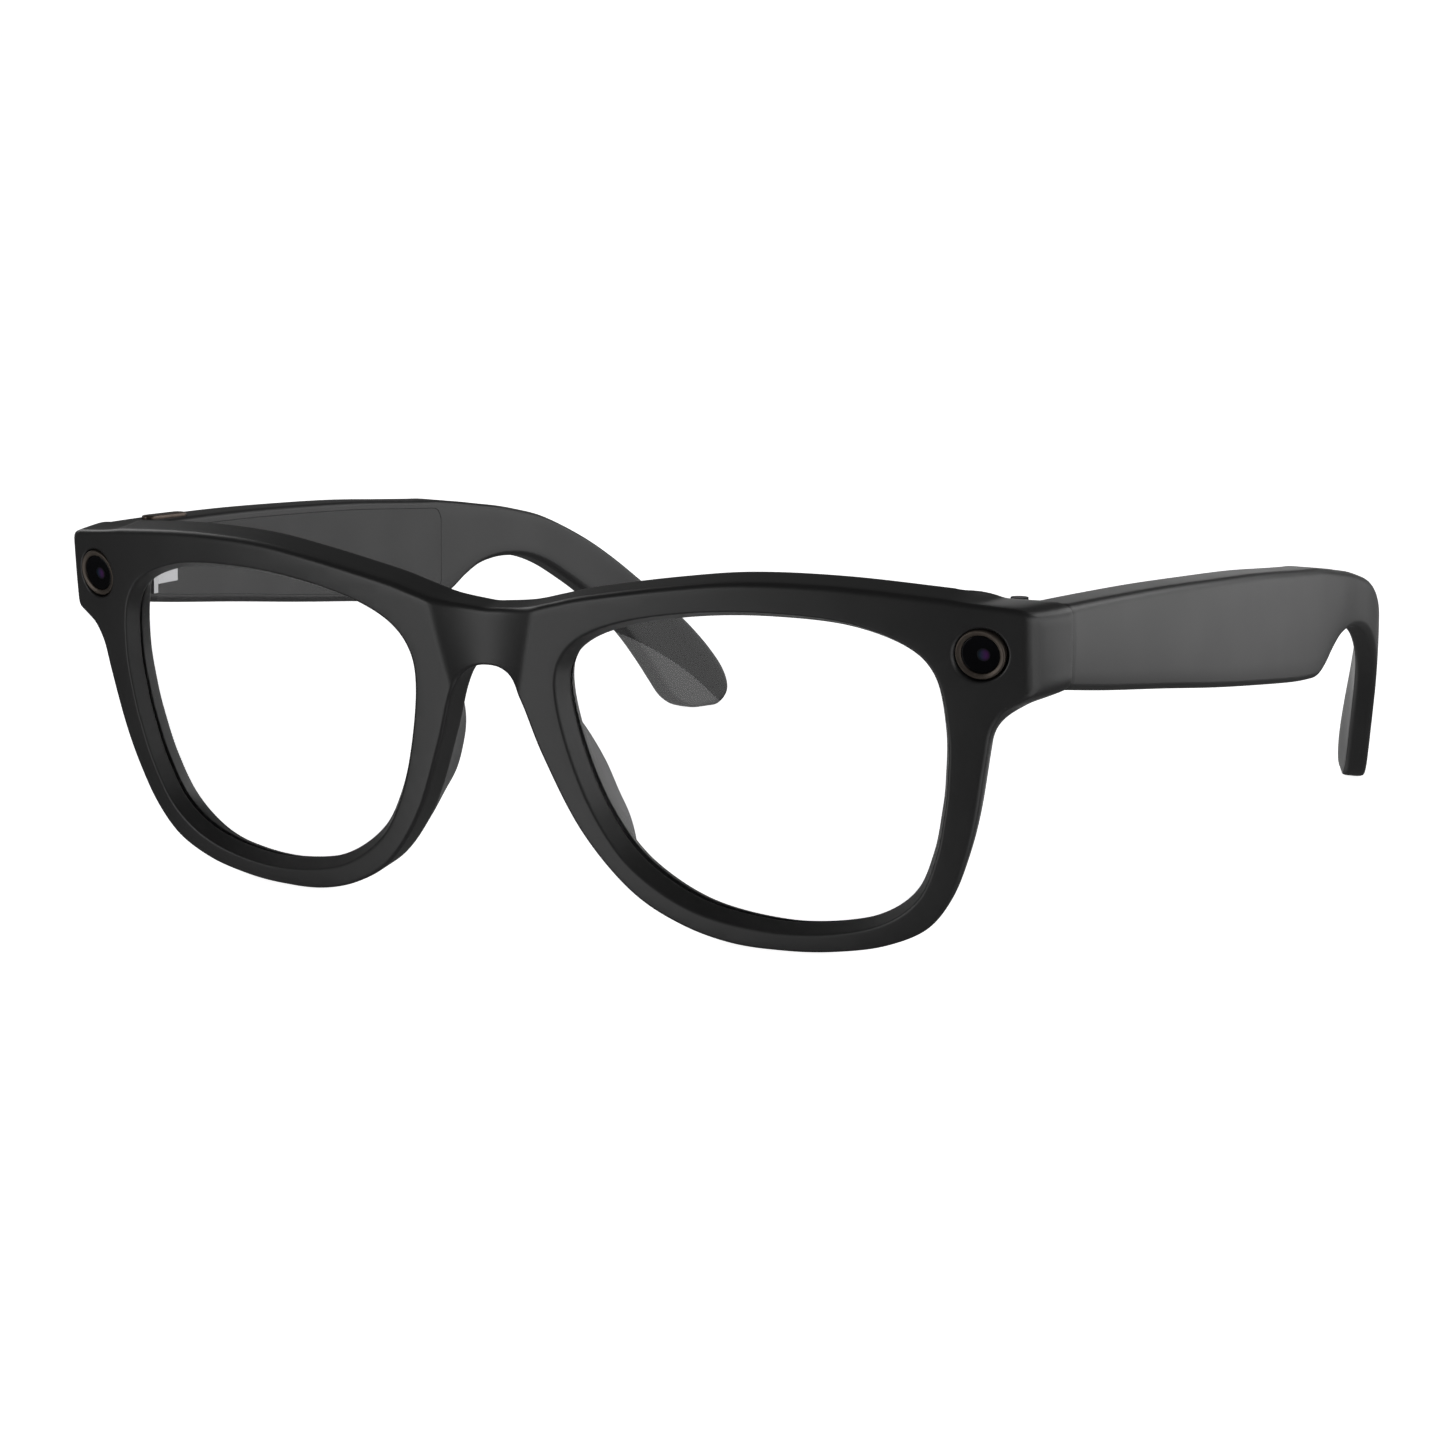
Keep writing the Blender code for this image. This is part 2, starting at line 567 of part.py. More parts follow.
def temple_section(row, chamfer=0.8):
    height = math.dist(row[:2], row[2:])
    c = chamfer / height
    low_y, _ = side_point(row, 0)
    top_y, _ = side_point(row, 1)
    out = []
    for h, inward, outer in (
        (0, chamfer, False), (0, chamfer, True), (c, 0, True), (1 - c, 0, True), (1, chamfer, True), (1, chamfer, False), (1 - c, 0, False), (c, 0, False),
    ):
        y, z = side_point(row, h)
        x = outer_x(y) - inward if outer else inner_x(y) + inward
        out.append((x, y, z))
    return out


def temple_body(name, side, mat):
    bm = bmesh.new()
    rows = [add_loop(bm, [(side * x, y, z) for x, y, z in temple_section(row)]) for row in pairs]
    for a, b in zip(rows, rows[1:]):
        bridge(bm, a, b)
    bm.faces.new(rows[0])
    bm.faces.new(rows[-1])
    return make_object(name, bm, mat)


def edge_z(y, top):
    """Height of the temple's top or bottom edge at this y, in front of the bend."""
    for a, b in zip(pairs, pairs[1:]):
        ya, yb = (a[0], b[0]) if top else (a[2], b[2])
        if ya <= y <= yb:
            t = (y - ya) / (yb - ya)
            return (a[1] + (b[1] - a[1]) * t) if top else (a[3] + (b[3] - a[3]) * t)
    return pairs[0][1] if top else pairs[0][3]


def slab(name, side, y0, y1, inset, x_low, x_high, mat=None, steps=16, round_ends=2.0, z_low=None, z_high=None):
    """A plate along the temple, inset from its edges, between two offsets from its inner face."""
    bm = bmesh.new()
    rows = []
    for i in range(steps + 1):
        y = y0 + (y1 - y0) * i / steps
        pinch = 0.0
        for end in (y - y0, y1 - y):
            if end < round_ends:
                pinch = max(pinch, round_ends - math.sqrt(max(0.0, round_ends**2 - (round_ends - end) ** 2)))
        pinch = min(pinch, round_ends * 0.8)
        low = (edge_z(y, False) + inset if z_low is None else z_low) + pinch
        high = (edge_z(y, True) - inset if z_high is None else z_high) - pinch
        xa, xb = inner_x(y) + x_low, inner_x(y) + x_high
        rows.append(add_loop(bm, [(side * xa, y, low), (side * xb, y, low), (side * xb, y, high), (side * xa, y, high)]))
    for a, b in zip(rows, rows[1:]):
        bridge(bm, a, b)
    bm.faces.new(rows[0])
    bm.faces.new(rows[-1])
    return make_object(name, bm, mat)


BATTERY_X = (WALL + GAP, 5.9 - WALL - GAP)
for side, name in ((1, "left"), (-1, "right")):
    shell = temple_body(f"temple_shell_{name}", side, MATTE)
    cut(shell, slab(f"temple_pocket_{name}", side, POCKET_START, POCKET_END, WALL, -2.0, 5.9 - WALL, steps=20))
    # sound outlet under the deep part
    cut(shell, block(f"sound_slot_{name}", sorted((side * 71.2, side * 72.4))[0:1] + [84.0, 20.0], sorted((side * 71.2, side * 72.4))[1:2] + [90.0, 28.5]))
    cover = slab(f"temple_cover_{name}", side, POCKET_START + GAP, POCKET_END - GAP, WALL + GAP, 0.0, WALL, COVER, steps=20)
    slab(f"speaker_{name}", side, 78.0, 92.5, 3.4, WALL + GAP, 4.2, PLASTIC, steps=6, round_ends=1.5)
    slab(f"microphone_{name}", side, 20.2, 23.4, 0, WALL + 1.1, WALL + 2.2, PLASTIC, steps=2, round_ends=0.01, z_low=41.0, z_high=43.2)
    if side > 0:
        slab("battery_left", side, 36.0, 75.5, 2.6, WALL + GAP, 4.2, CELL, steps=10, round_ends=1.0)
        slab("battery_board_left", side, 25.8, 34.8, 2.6, WALL + 2.0, WALL + 2.8, BOARD, steps=4, round_ends=0.5)
    else:
        slab("main_board_right", side, 40.0, 76.5, 2.4, WALL + 1.7, WALL + 2.4, BOARD, steps=8, round_ends=0.6)
        slab("shield_can_right", side, 46.0, 70.0, 3.6, WALL + GAP, WALL + 1.35, STEEL, steps=6, round_ends=0.4)
        slab("touch_sensor_right", side, 38.0, 76.5, 2.2, WALL + 2.8, WALL + 3.2, FLEX, steps=8, round_ends=1.2)

# ---- capture button on the wearer's right, power slider on the wearer's left ------------------------------------
shell_right = bpy.data.objects["temple_shell_right"]
button_x = -(inner_x(BUTTON_Y) + 2.7)
button_top = edge_z(BUTTON_Y, True)
slope = (edge_z(BUTTON_Y + 5, True) - edge_z(BUTTON_Y - 5, True)) / 10


def on_top(length, width, low, high, name, mat=None):
    loop = [(button_x + w, BUTTON_Y + l) for l, w in stadium(length, width)]
    return prism(name, loop, low, high, mat, place=lambda x, y, t: (x, y, button_top + slope * (y - BUTTON_Y) + t))


cut(shell_right, on_top(BUTTON_LENGTH + 2 * GAP, BUTTON_WIDTH + 2 * GAP, -1.7, 3.0, "button_slot"))
button = on_top(BUTTON_LENGTH, BUTTON_WIDTH, -1.5, BUTTON_PROUD, "capture_button", BRONZE)
edges = button.modifiers.new("edges", "BEVEL")
edges.width = 0.25 * MM
edges.segments = 1
block("capture_switch", (button_x - 1.1, BUTTON_Y - 1.7, button_top - 3.4), (button_x + 1.1, BUTTON_Y + 1.7, button_top - 2.0), PLASTIC, 0.15)

cover_left = bpy.data.objects["temple_cover_left"]
cover_x = inner_x(SWITCH_Y)


def on_inner(length, width, low, high, name, mat=None):
    loop = [(SWITCH_Y + l, SWITCH_Z + w) for l, w in stadium(length, width)]
    return prism(name, loop, low, high, mat, place=lambda y, z, t: (inner_x(SWITCH_Y) + t, y, z))


cut(cover_left, on_inner(4.6 + SWITCH_TRAVEL + 2 * GAP, 2.2 + 2 * GAP, -3.0, 3.0, "switch_slot"))
slider = prism(
    "power_switch", [(SWITCH_Y - SWITCH_TRAVEL / 2 + l, SWITCH_Z + w) for l, w in stadium(4.6, 2.2)], -0.55, 1.6, PLASTIC,
    place=lambda y, z, t: (inner_x(SWITCH_Y) + t, y, z),
)

# ---- hinges ----------------------------------------------------------------------------------------------------
for side, name in ((1, "left"), (-1, "right")):
    ax, ay = side * HINGE[0], HINGE[1]
    z0, z1 = KNUCKLES[0][0], KNUCKLES[-1][1]
    low, high = sorted((side * 62.6, side * 65.9))
    leaf = block(f"hinge_front_leaf_{name}", (low, SEAM_Y + GAP, z0 - 0.15), (high, SEAM_Y + GAP + 0.9, z1 + 0.15), STEEL)
    plate = sorted((side * (HINGE[0] + 0.55), side * (inner_x(20.0) - GAP)))
    rear = block(f"hinge_rear_leaf_{name}", (plate[0], HINGE[1], z0 + 0.3), (plate[1], HINGE[1] + 8.0, z1 - 0.3), STEEL)
    at = Matrix.Translation(Vector((ax, ay, 0)) * MM)
    for k, (a, b) in enumerate(KNUCKLES):
        body = turned(f"knuckle_{name}_{k}", [(0, a), (KNUCKLE_RADIUS, a), (KNUCKLE_RADIUS, b), (0, b)], 20, None, at)
        clear = turned(f"knuckle_room_{name}_{k}", [(0, a - 0.25), (KNUCKLE_RADIUS + GAP, a - 0.25), (KNUCKLE_RADIUS + GAP, b + 0.25), (0, b + 0.25)], 20, None, at)
        join(rear if k == 1 else leaf, body)
        cut(leaf if k == 1 else rear, clear)
    for piece in (leaf, rear):
        cut(piece, turned(f"pin_bore_{piece.name}", [(0, z0 - 2), (PIN_BORE, z0 - 2), (PIN_BORE, z1 + 2), (0, z1 + 2)], 16, None, at))
    turned(f"hinge_screw_{name}", [(0, z0 - 0.2), (PIN_RADIUS, z0 - 0.2), (PIN_RADIUS, z1 + 0.3), (1.1, z1 + 0.3), (1.1, z1 + 0.8), (0, z1 + 0.8)], 16, STEEL, at)

# ---- the whole object hangs on one empty, so that its origin is the middle of its footprint ----------------------
assembly = bpy.data.objects.new("assembly", None)
bpy.context.scene.collection.objects.link(assembly)


# ---- moving pieces hang on empties at their joints -------------------------------------------------------------
for obj in bpy.data.objects:
    if obj.type == "MESH" and not obj.hide_render:
        obj.data.shade_smooth()
        obj.data.set_sharp_from_angle(angle=math.radians(32))


def group(name, location, names):
    empty = bpy.data.objects.new(name, None)
    empty.location = Vector(location) * MM
    bpy.context.scene.collection.objects.link(empty)
    empty.parent = assembly
    bpy.context.view_layer.update()
    for child in names:
        obj = bpy.data.objects[child]
        obj.parent = empty
        obj.matrix_parent_inverse = empty.matrix_world.inverted()


group("temple_left_axis", (HINGE[0], HINGE[1], 40.0), [
    "temple_shell_left", "temple_cover_left", "speaker_left", "microphone_left", "battery_left", "battery_board_left", "hinge_rear_leaf_left", "power_switch",
])
group("temple_right_axis", (-HINGE[0], HINGE[1], 40.0), [
    "temple_shell_right", "temple_cover_right", "speaker_right", "microphone_right", "main_board_right", "shield_can_right", "touch_sensor_right",
    "capture_switch", "capture_button", "hinge_rear_leaf_right",
])

for obj in bpy.data.objects:
    if obj.parent is None and obj is not assembly:
        obj.parent = assembly
assembly.location = Vector((0.0, -MIDDLE_Y, 0.0)) * MM
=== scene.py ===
"""Looks of the smart glasses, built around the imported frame: high-resolution shells, lenses, bezels, button and pads."""

import math

import bmesh
import bpy
import numpy as np
from mathutils import Matrix, Vector
from mathutils.geometry import delaunay_2d_cdt


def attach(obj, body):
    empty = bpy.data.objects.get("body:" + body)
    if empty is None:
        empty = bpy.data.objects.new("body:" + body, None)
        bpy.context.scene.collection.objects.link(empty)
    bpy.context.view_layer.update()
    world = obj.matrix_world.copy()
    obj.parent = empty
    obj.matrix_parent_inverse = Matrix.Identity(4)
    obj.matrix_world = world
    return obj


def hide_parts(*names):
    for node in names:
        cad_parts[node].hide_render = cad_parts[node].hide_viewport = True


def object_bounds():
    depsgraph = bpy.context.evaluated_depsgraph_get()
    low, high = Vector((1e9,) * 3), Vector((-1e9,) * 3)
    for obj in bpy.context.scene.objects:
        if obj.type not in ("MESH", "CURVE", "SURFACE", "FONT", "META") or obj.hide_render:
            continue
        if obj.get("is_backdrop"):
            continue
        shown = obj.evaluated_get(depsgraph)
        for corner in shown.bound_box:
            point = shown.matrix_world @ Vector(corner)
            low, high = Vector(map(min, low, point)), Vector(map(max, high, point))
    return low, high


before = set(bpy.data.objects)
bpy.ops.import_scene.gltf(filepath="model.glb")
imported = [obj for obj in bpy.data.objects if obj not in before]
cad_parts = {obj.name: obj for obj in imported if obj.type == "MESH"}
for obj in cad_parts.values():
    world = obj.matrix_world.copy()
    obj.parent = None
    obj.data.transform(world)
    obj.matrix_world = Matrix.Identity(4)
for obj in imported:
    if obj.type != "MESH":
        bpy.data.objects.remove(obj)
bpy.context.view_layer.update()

MM = 0.001
GAP = 0.3
MIDDLE_Y = 80.19

# ---- the front's own geometry, the same numbers as in part.py ---------------------------------------------------
TILT = math.radians(10.7)
LIFT = 22.25
WRAP_RADIUS, WRAP_QUARTIC, BASE_RADIUS = 326.0, 8.4e-8, 186.0
RIM_DEPTH, SEAM_Y, END_HALF_WIDTH = 5.0, 14.4, 73.1
BRIDGE_SCOOP = 1.25
LENS_OPENING = [
    (60.6, 0.0), (61.0, 6.5), (59.9, 13.4), (56.3, 17.5), (49.0, 20.2), (39.5, 21.05), (30.0, 20.7), (20.5, 19.1),
    (14.2, 16.6), (11.0, 13.0), (10.4, 8.0), (12.0, 0.0), (14.8, -7.6), (19.1, -13.9), (26.5, -18.8), (35.7, -20.85),
    (44.0, -20.7), (51.0, -18.9), (55.8, -15.3), (58.5, -9.7), (59.9, -4.2),
]
TOP_EDGE = [(0.0, 18.9), (5.5, 19.5), (10.0, 20.6), (15.0, 21.8), (26.0, 23.6), (36.0, 24.6), (48.0, 24.35), (61.0, 22.95), (69.5, 21.65)]
END_EDGE = [(70.8, 20.9), (71.2, 19.6), (71.2, 12.5), (70.7, 11.2), (69.4, 10.4)]
LOW_EDGE = [
    (67.4, 9.2), (66.0, 6.8), (65.2, 3.0), (63.6, -4.8), (61.9, -10.4), (59.6, -15.6), (56.2, -19.6), (51.0, -22.0),
    (45.3, -23.1), (39.0, -23.5), (31.0, -23.0), (24.0, -20.8), (17.8, -16.7), (12.0, -9.1), (7.6, 0.7), (5.3, 7.2), (3.6, 10.3),
    (1.5, 11.4), (0.0, 11.5),
]
BEVEL_DEPTH, BEVEL_IN = 2.1, 1.1
GROOVE_REAR, GROOVE_IN = 3.7, 0.05
LIP_IN, REAR_IN = 0.75, 0.35
LENS_FRONT, LENS_REAR, LENS_IN = 2.3, 3.5, 0.25
EYE = (65.4, 16.3)
POCKET_RADIUS, POCKET_DEPTH = 3.16, 5.2
EYE_AT = {1: 65.0, -1: 65.9}  # the camera and the light sit a little differently

TEMPLE_FRONT_Y = SEAM_Y + 0.08
STATIONS = [
    ((14.7, 45.4), (14.7, 35.0)), ((26.0, 45.1), (26.0, 33.4)), ((42.0, 44.5), (42.0, 31.4)), ((58.0, 43.6), (58.0, 29.3)),
    ((73.0, 42.6), (73.0, 27.5)), ((86.0, 41.4), (86.0, 26.0)), ((92.6, 40.8), (92.8, 25.4)), ((96.2, 40.5), (96.6, 25.3)),
    ((99.4, 40.05), (99.9, 26.3)), ((102.9, 39.55), (103.3, 27.9)), ((107.3, 38.85), (107.5, 29.3)), ((112.7, 38.0), (112.6, 29.8)),
    ((118.2, 36.9), (117.4, 29.5)), ((124.4, 35.4), (122.0, 28.6)), ((130.2, 33.2), (126.6, 26.9)), ((136.0, 30.3), (131.2, 24.4)),
    ((141.1, 27.0), (135.8, 21.4)), ((146.2, 23.0), (140.4, 17.6)), ((151.1, 18.8), (144.6, 13.2)), ((155.7, 14.4), (147.9, 8.9)),
    ((159.5, 10.0), (150.4, 5.2)), ((162.1, 6.0), (152.4, 2.3)), ((162.9, 2.6), (154.4, 0.7)), ((161.3, 0.0), (156.4, 0.0)),
]
INNER_PLAN = [(8.0, 66.5), (30.0, 67.7), (55.0, 68.8), (85.0, 69.1), (115.0, 68.5), (128.0, 67.6), (138.0, 65.2), (150.0, 60.4), (168.0, 51.6)]
WIDTH_PLAN = [(8.0, 5.9), (90.0, 5.9), (108.0, 4.9), (122.0, 4.0), (135.0, 3.5), (168.0, 3.4)]
WALL = 1.15
POCKET_START, POCKET_END = 18.4, 96.0
BUTTON_Y, BUTTON_LENGTH, BUTTON_WIDTH, BUTTON_PROUD = 26.7, 8.8, 2.2, 0.5
SWITCH_Y, SWITCH_Z, SWITCH_TRAVEL = 25.0, 38.6, 2.0
PAD_TOP, PAD_FALL, PAD_REACH, PAD_EDGE = 6.2, 20.0, 4.7, 1.3
PAD_REAR = [(-14.5, 17.2), (-12.4, 16.2), (-9.4, 14.7), (-6.5, 13.0), (-2.8, 11.5), (0.4, 10.3), (4.6, 9.0)]
RIM_NOSE = [(-16.7, 17.8), (-9.1, 12.0), (0.7, 7.6), (7.2, 5.3)]
RIM_LENS = [(-18.8, 26.5), (-13.9, 19.1), (-7.6, 14.8), (0.0, 12.0), (8.0, 10.4)]
BROW_HALF = [(0.0, 16.9), (7.0, 17.7), (13.0, 19.6), (20.0, 21.1), (28.0, 22.4), (36.0, 22.95), (43.0, 22.8), (50.0, 22.0), (56.5, 20.7), (60.0, 19.0)]


# ---- curves ----------------------------------------------------------------------------------------------------
def catmull(points, closed, steps):
    count = len(points)
    out = []
    for i in range(count if closed else count - 1):
        if closed:
            a, b, c, d = (points[(i + k - 1) % count] for k in range(4))
        else:
            a, b, c, d = (points[min(max(i + k - 1, 0), count - 1)] for k in range(4))
        for s in range(steps):
            t = s / steps
            out.append(
                tuple(
                    0.5 * (2 * q + (r - p) * t + (2 * p - 5 * q + 4 * r - w) * t * t + (3 * q - p - 3 * r + w) * t**3)
                    for p, q, r, w in zip(a, b, c, d)
                )
            )
    if not closed:
        out.append(tuple(points[-1]))
    return out


def resample(points, closed, count):
    loop = points + points[:1] if closed else points
    at = [0.0]
    for p, q in zip(loop, loop[1:]):
        at.append(at[-1] + math.dist(p, q))
    out = []
    j = 0
    for i in range(count):
        s = at[-1] * i / (count if closed else count - 1)
        while j < len(at) - 2 and at[j + 1] < s:
            j += 1
        span = at[j + 1] - at[j]
        t = (s - at[j]) / span if span else 0.0
        out.append(tuple(p + (q - p) * t for p, q in zip(loop[j], loop[j + 1])))
    return out


def relax(loop, rounds):
    """A closed loop with its small unevenness taken out; grows back by as much as it shrinks."""
    pts = np.array(loop)
    for _ in range(rounds):
        for weight in (0.5, -0.53):
            pts = pts + weight * (0.5 * (np.roll(pts, 1, 0) + np.roll(pts, -1, 0)) - pts)
    return [tuple(p) for p in pts]


def offset(loop, distance):
    count = len(loop)
    out = []
    for i, (x, y) in enumerate(loop):
        (ax, ay), (bx, by) = loop[i - 1], loop[(i + 1) % count]
        tx, ty = bx - ax, by - ay
        size = math.hypot(tx, ty)
        d = distance[i] if isinstance(distance, list) else distance
        out.append((x - ty / size * d, y + tx / size * d))
    return out


def along(table, x):
    xs = [row[0] for row in table]
    i = max(0, min(len(table) - 2, sum(1 for v in xs if v <= x) - 1))
    x0, y0 = table[i]
    x1, y1 = table[i + 1]
    slope = [(table[k + 1][1] - table[k][1]) / (table[k + 1][0] - table[k][0]) for k in range(len(table) - 1)]

    def tangent(k):
        if k in (0, len(table) - 1):
            return slope[min(k, len(slope) - 1)]
        return 0.5 * (slope[k - 1] + slope[k])

    h = x1 - x0
    t = (x - x0) / h
    if t > 1:
        return y1 + tangent(i + 1) * (x - x1)
    return (
        (2 * t**3 - 3 * t**2 + 1) * y0 + (t**3 - 2 * t**2 + t) * h * tangent(i)
        + (-2 * t**3 + 3 * t**2) * y1 + (t**3 - t**2) * h * tangent(i + 1)
    )


def smooth(x, low, high):
    t = min(1.0, max(0.0, (x - low) / (high - low)))
    return t * t * (3 - 2 * t)


def inside_many(points, loop):
    """Which of these points lie inside the loop."""
    pts = np.asarray(points, float)
    a = np.asarray(loop, float)
    b = np.roll(a, -1, 0)
    odd = np.zeros(len(pts), bool)
    for start in range(0, len(pts), 4000):
        x, y = pts[start : start + 4000, 0:1], pts[start : start + 4000, 1:2]
        span = (a[:, 1] > y) != (b[:, 1] > y)
        rise = np.where(b[:, 1] == a[:, 1], 1.0, b[:, 1] - a[:, 1])
        cross = x < (b[:, 0] - a[:, 0]) * (y - a[:, 1]) / rise + a[:, 0]
        odd[start : start + 4000] = ((span & cross).sum(1) % 2).astype(bool)
    return odd


def bend(a, corner, b, steps):
    """Points of a rounded corner from a to b."""
    out = []
    for k in range(steps + 1):
        t = k / steps
        out.append(tuple((1 - t) ** 2 * p + 2 * t * (1 - t) * q + t * t * r for p, q, r in zip(a, corner, b)))
    return out


# ---- the front's surface ---------------------------------------------------------------------------------------
def scoop_half(v):
    return 5.1 + 0.25 * (min(max(v, 7.0), 21.0) - 9.5)


def scoop(u, v):
    x = abs(u) / scoop_half(v)
    if x > 1.06:
        return 0.0
    if x > 0.94:  # the crease is rounded a little
        t = (1.06 - x) / 0.12
        return BRIDGE_SCOOP * 0.1164 * t * t
    return BRIDGE_SCOOP * (1.0 - x * x)


def wrap(u, v):
    return u * u / (2 * WRAP_RADIUS) + WRAP_QUARTIC * u**4 + v * v / (2 * BASE_RADIUS)


def roll(u):
    """The front face turns round into the side of the end pieces."""
    radius = 1.15
    s = min(abs(u) - (71.2 - radius), 0.95 * radius)
    return radius - math.sqrt(radius * radius - s * s) if s > 0 else 0.0


def place(x, y, z):
    return Vector((x * MM, (y - MIDDLE_Y) * MM, z * MM))


def front_to_world(u, y, v):
    z = y * math.sin(TILT) + v * math.cos(TILT) + LIFT
    return place(u, y * math.cos(TILT) - v * math.sin(TILT), max(z, 0.0))


def level_at(u, v):
    return (1.22 - 0.42 * smooth(abs(u), 64.0, 71.0)) * smooth(abs(u), 60.2, 64.2) * smooth(v, 5.5, 10.5)


def end_weight(u, v):
    return smooth(abs(u), 60.8, 64.0) * smooth(v, 5.5, 10.5)


def outer_bar(u, v):
    return smooth(abs(u), 46.0, 57.0) * (1 - smooth(v, 12.0, 17.0))


def depth_at(u, v):
    level = level_at(u, v)
    seam = (SEAM_Y + v * math.sin(TILT) - wrap(u, v) * math.cos(TILT)) / (math.cos(TILT) + level * math.sin(TILT) * math.tan(TILT))
    rim = RIM_DEPTH + 0.6 * outer_bar(u, v)
    return rim + (seam - rim) * end_weight(u, v)


def taper(u, v):
    return (1.1 + 0.35 * smooth(abs(u), 46.0, 57.0)) * smooth(abs(u), 30.0, 54.0) * (1 - smooth(v, 4.0, 9.0))


def swell(u):
    return (END_HALF_WIDTH - 71.2) * smooth(abs(u), 66.0, 71.0)


def on_front(u, v, share):
    d = depth_at(u, v) * share
    hollow = scoop(u, v) * (1 - share) + roll(u) * (1 - share) ** 2
    level = d * math.tan(TILT) * level_at(u, v)
    return front_to_world(u + math.copysign(swell(u) * (1 - max(0.0, 1 - share) ** 1.25), u), wrap(u, v) + d + hollow, v - level)


def from_back(u, v, back):
    return on_front(u, v, 1 - back / depth_at(u, v))


def behind_front(u, v, d):
    return front_to_world(u, wrap(u, v) + d, v)


# ---- meshes ----------------------------------------------------------------------------------------------------
def piece(name, bm, mat, body, replaces=(), sharp=38.0, flip=False):
    bmesh.ops.recalc_face_normals(bm, faces=bm.faces[:])
    if flip:
        bmesh.ops.reverse_faces(bm, faces=bm.faces[:])
    mesh = bpy.data.meshes.new(name)
    bm.to_mesh(mesh)
    bm.free()
    for node in replaces:
        if node == name:  # the CAD node keeps its data, and the new piece takes a name of its own
            name = name + "_look"
    obj = bpy.data.objects.new(name, mesh)
    bpy.context.scene.collection.objects.link(obj)
    if mat is not None:
        mesh.materials.append(mat)
    if body is not None:
        finish_piece(obj, body, replaces, sharp)
    return obj


def finish_piece(obj, body, replaces=(), sharp=38.0):
    obj.data.shade_smooth()
    obj.data.set_sharp_from_angle(angle=math.radians(sharp))
    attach(obj, body)
    if replaces:
        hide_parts(*replaces)
    return obj


def add_loop(bm, points):
    return [bm.verts.new(p) for p in points]


def bridge(bm, a, b):
    for i in range(len(a)):
        j = (i + 1) % len(a)
        bm.faces.new((a[i], a[j], b[j], b[i]))


def fill(bm, loops, extra, lift, clear=0.35):
    """Fills the first loop around the holes of the others; each loop is (2-D points, vertices)."""
    flat, verts, edges = [], [], []
    for points, made in loops:
        start = len(flat)
        flat += [Vector(p) for p in points]
        verts += made
        count = len(points)
        edges += [(start + i, start + (i + 1) % count) for i in range(count)]
    outer = [tuple(p) for p in loops[0][0]]
    holes = [[tuple(p) for p in points] for points, _ in loops[1:]]
    if len(extra):
        keep = inside_many(extra, offset(outer, clear))
        for h in holes:
            keep &= ~inside_many(extra, offset(h, -clear))
        for p, good in zip(extra, keep):
            if good:
                flat.append(Vector(p))
                verts.append(bm.verts.new(lift(*p)))
    coords, _, faces, origins, _, _ = delaunay_2d_cdt(flat, edges, [], 0, 1e-7)
    centres = np.array([sum((coords[i] for i in face), Vector((0, 0))) / 3 for face in faces])
    keep = inside_many(centres, outer)
    for h in holes:
        keep &= ~inside_many(centres, h)
    for face, good in zip(faces, keep):
        if good:
            bm.faces.new([verts[origins[i][0]] for i in face])


def mirror_loop(loop):
    return [(-x, y) for x, y in reversed(loop)]


def circle(radius, count, centre=(0.0, 0.0)):
    return [
        (centre[0] + radius * math.cos(2 * math.pi * i / count), centre[1] + radius * math.sin(2 * math.pi * i / count))
        for i in range(count)
    ]


def stadium(length, width, count=14):
    r = width / 2
    out = []
    for side in (0, 1):
        for i in range(count + 1):
            a = -math.pi / 2 + math.pi * i / count + math.pi * side
            out.append(((length / 2 - r) * (1 - 2 * side) + r * math.cos(a), r * math.sin(a)))
    return out


def loft(rows, caps=True):
    bm = bmesh.new()
    made = [add_loop(bm, row) for row in rows]
    for a, b in zip(made, made[1:]):
        bridge(bm, a, b)
    if caps:
        bm.faces.new(made[0])
        bm.faces.new(made[-1])
    return bm


def turned(profile, segments, matrix):
    bm = bmesh.new()
    ring = profile[0][0] > 1e-6
    rows = []
    for radius, height in profile:
        if radius < 1e-6:
            rows.append([bm.verts.new(matrix @ Vector((0, 0, height * MM)))])
        else:
            rows.append(
                [
                    bm.verts.new(matrix @ Vector((radius * MM * math.cos(a), radius * MM * math.sin(a), height * MM)))
                    for a in (2 * math.pi * i / segments for i in range(segments))
                ]
            )
    pairs = list(zip(rows, rows[1:])) + ([(rows[-1], rows[0])] if ring else [])
    for a, b in pairs:
        for i in range(segments):
            j = (i + 1) % segments
            face = [a[i % len(a)], a[j % len(a)], b[j % len(b)], b[i % len(b)]]
            face = [v for k, v in enumerate(face) if v not in face[:k]]
            if len(face) > 2:
                bm.faces.new(face)
    return bm


def helper(name, bm):
    return piece(name, bm, None, None)


def carve(obj, cutters, operation="DIFFERENCE"):
    """Applies the Booleans and keeps the result as the object's mesh."""
    for cutter in cutters:
        mod = obj.modifiers.new(cutter.name, "BOOLEAN")
        mod.operation = operation
        mod.solver = "EXACT"
        mod.object = cutter
    graph = bpy.context.evaluated_depsgraph_get()
    mesh = bpy.data.meshes.new_from_object(obj.evaluated_get(graph))
    obj.modifiers.clear()
    obj.data = mesh
    for cutter in cutters:
        bpy.data.objects.remove(cutter, do_unlink=True)
    return obj


def soften(obj, width, segments=3, angle=35.0):
    """Rounds the edges of a finished mesh."""
    mod = obj.modifiers.new("edges", "BEVEL")
    mod.width = width * MM
    mod.segments = segments
    mod.limit_method = "ANGLE"
    mod.angle_limit = math.radians(angle)
    mod.harden_normals = True
    return obj


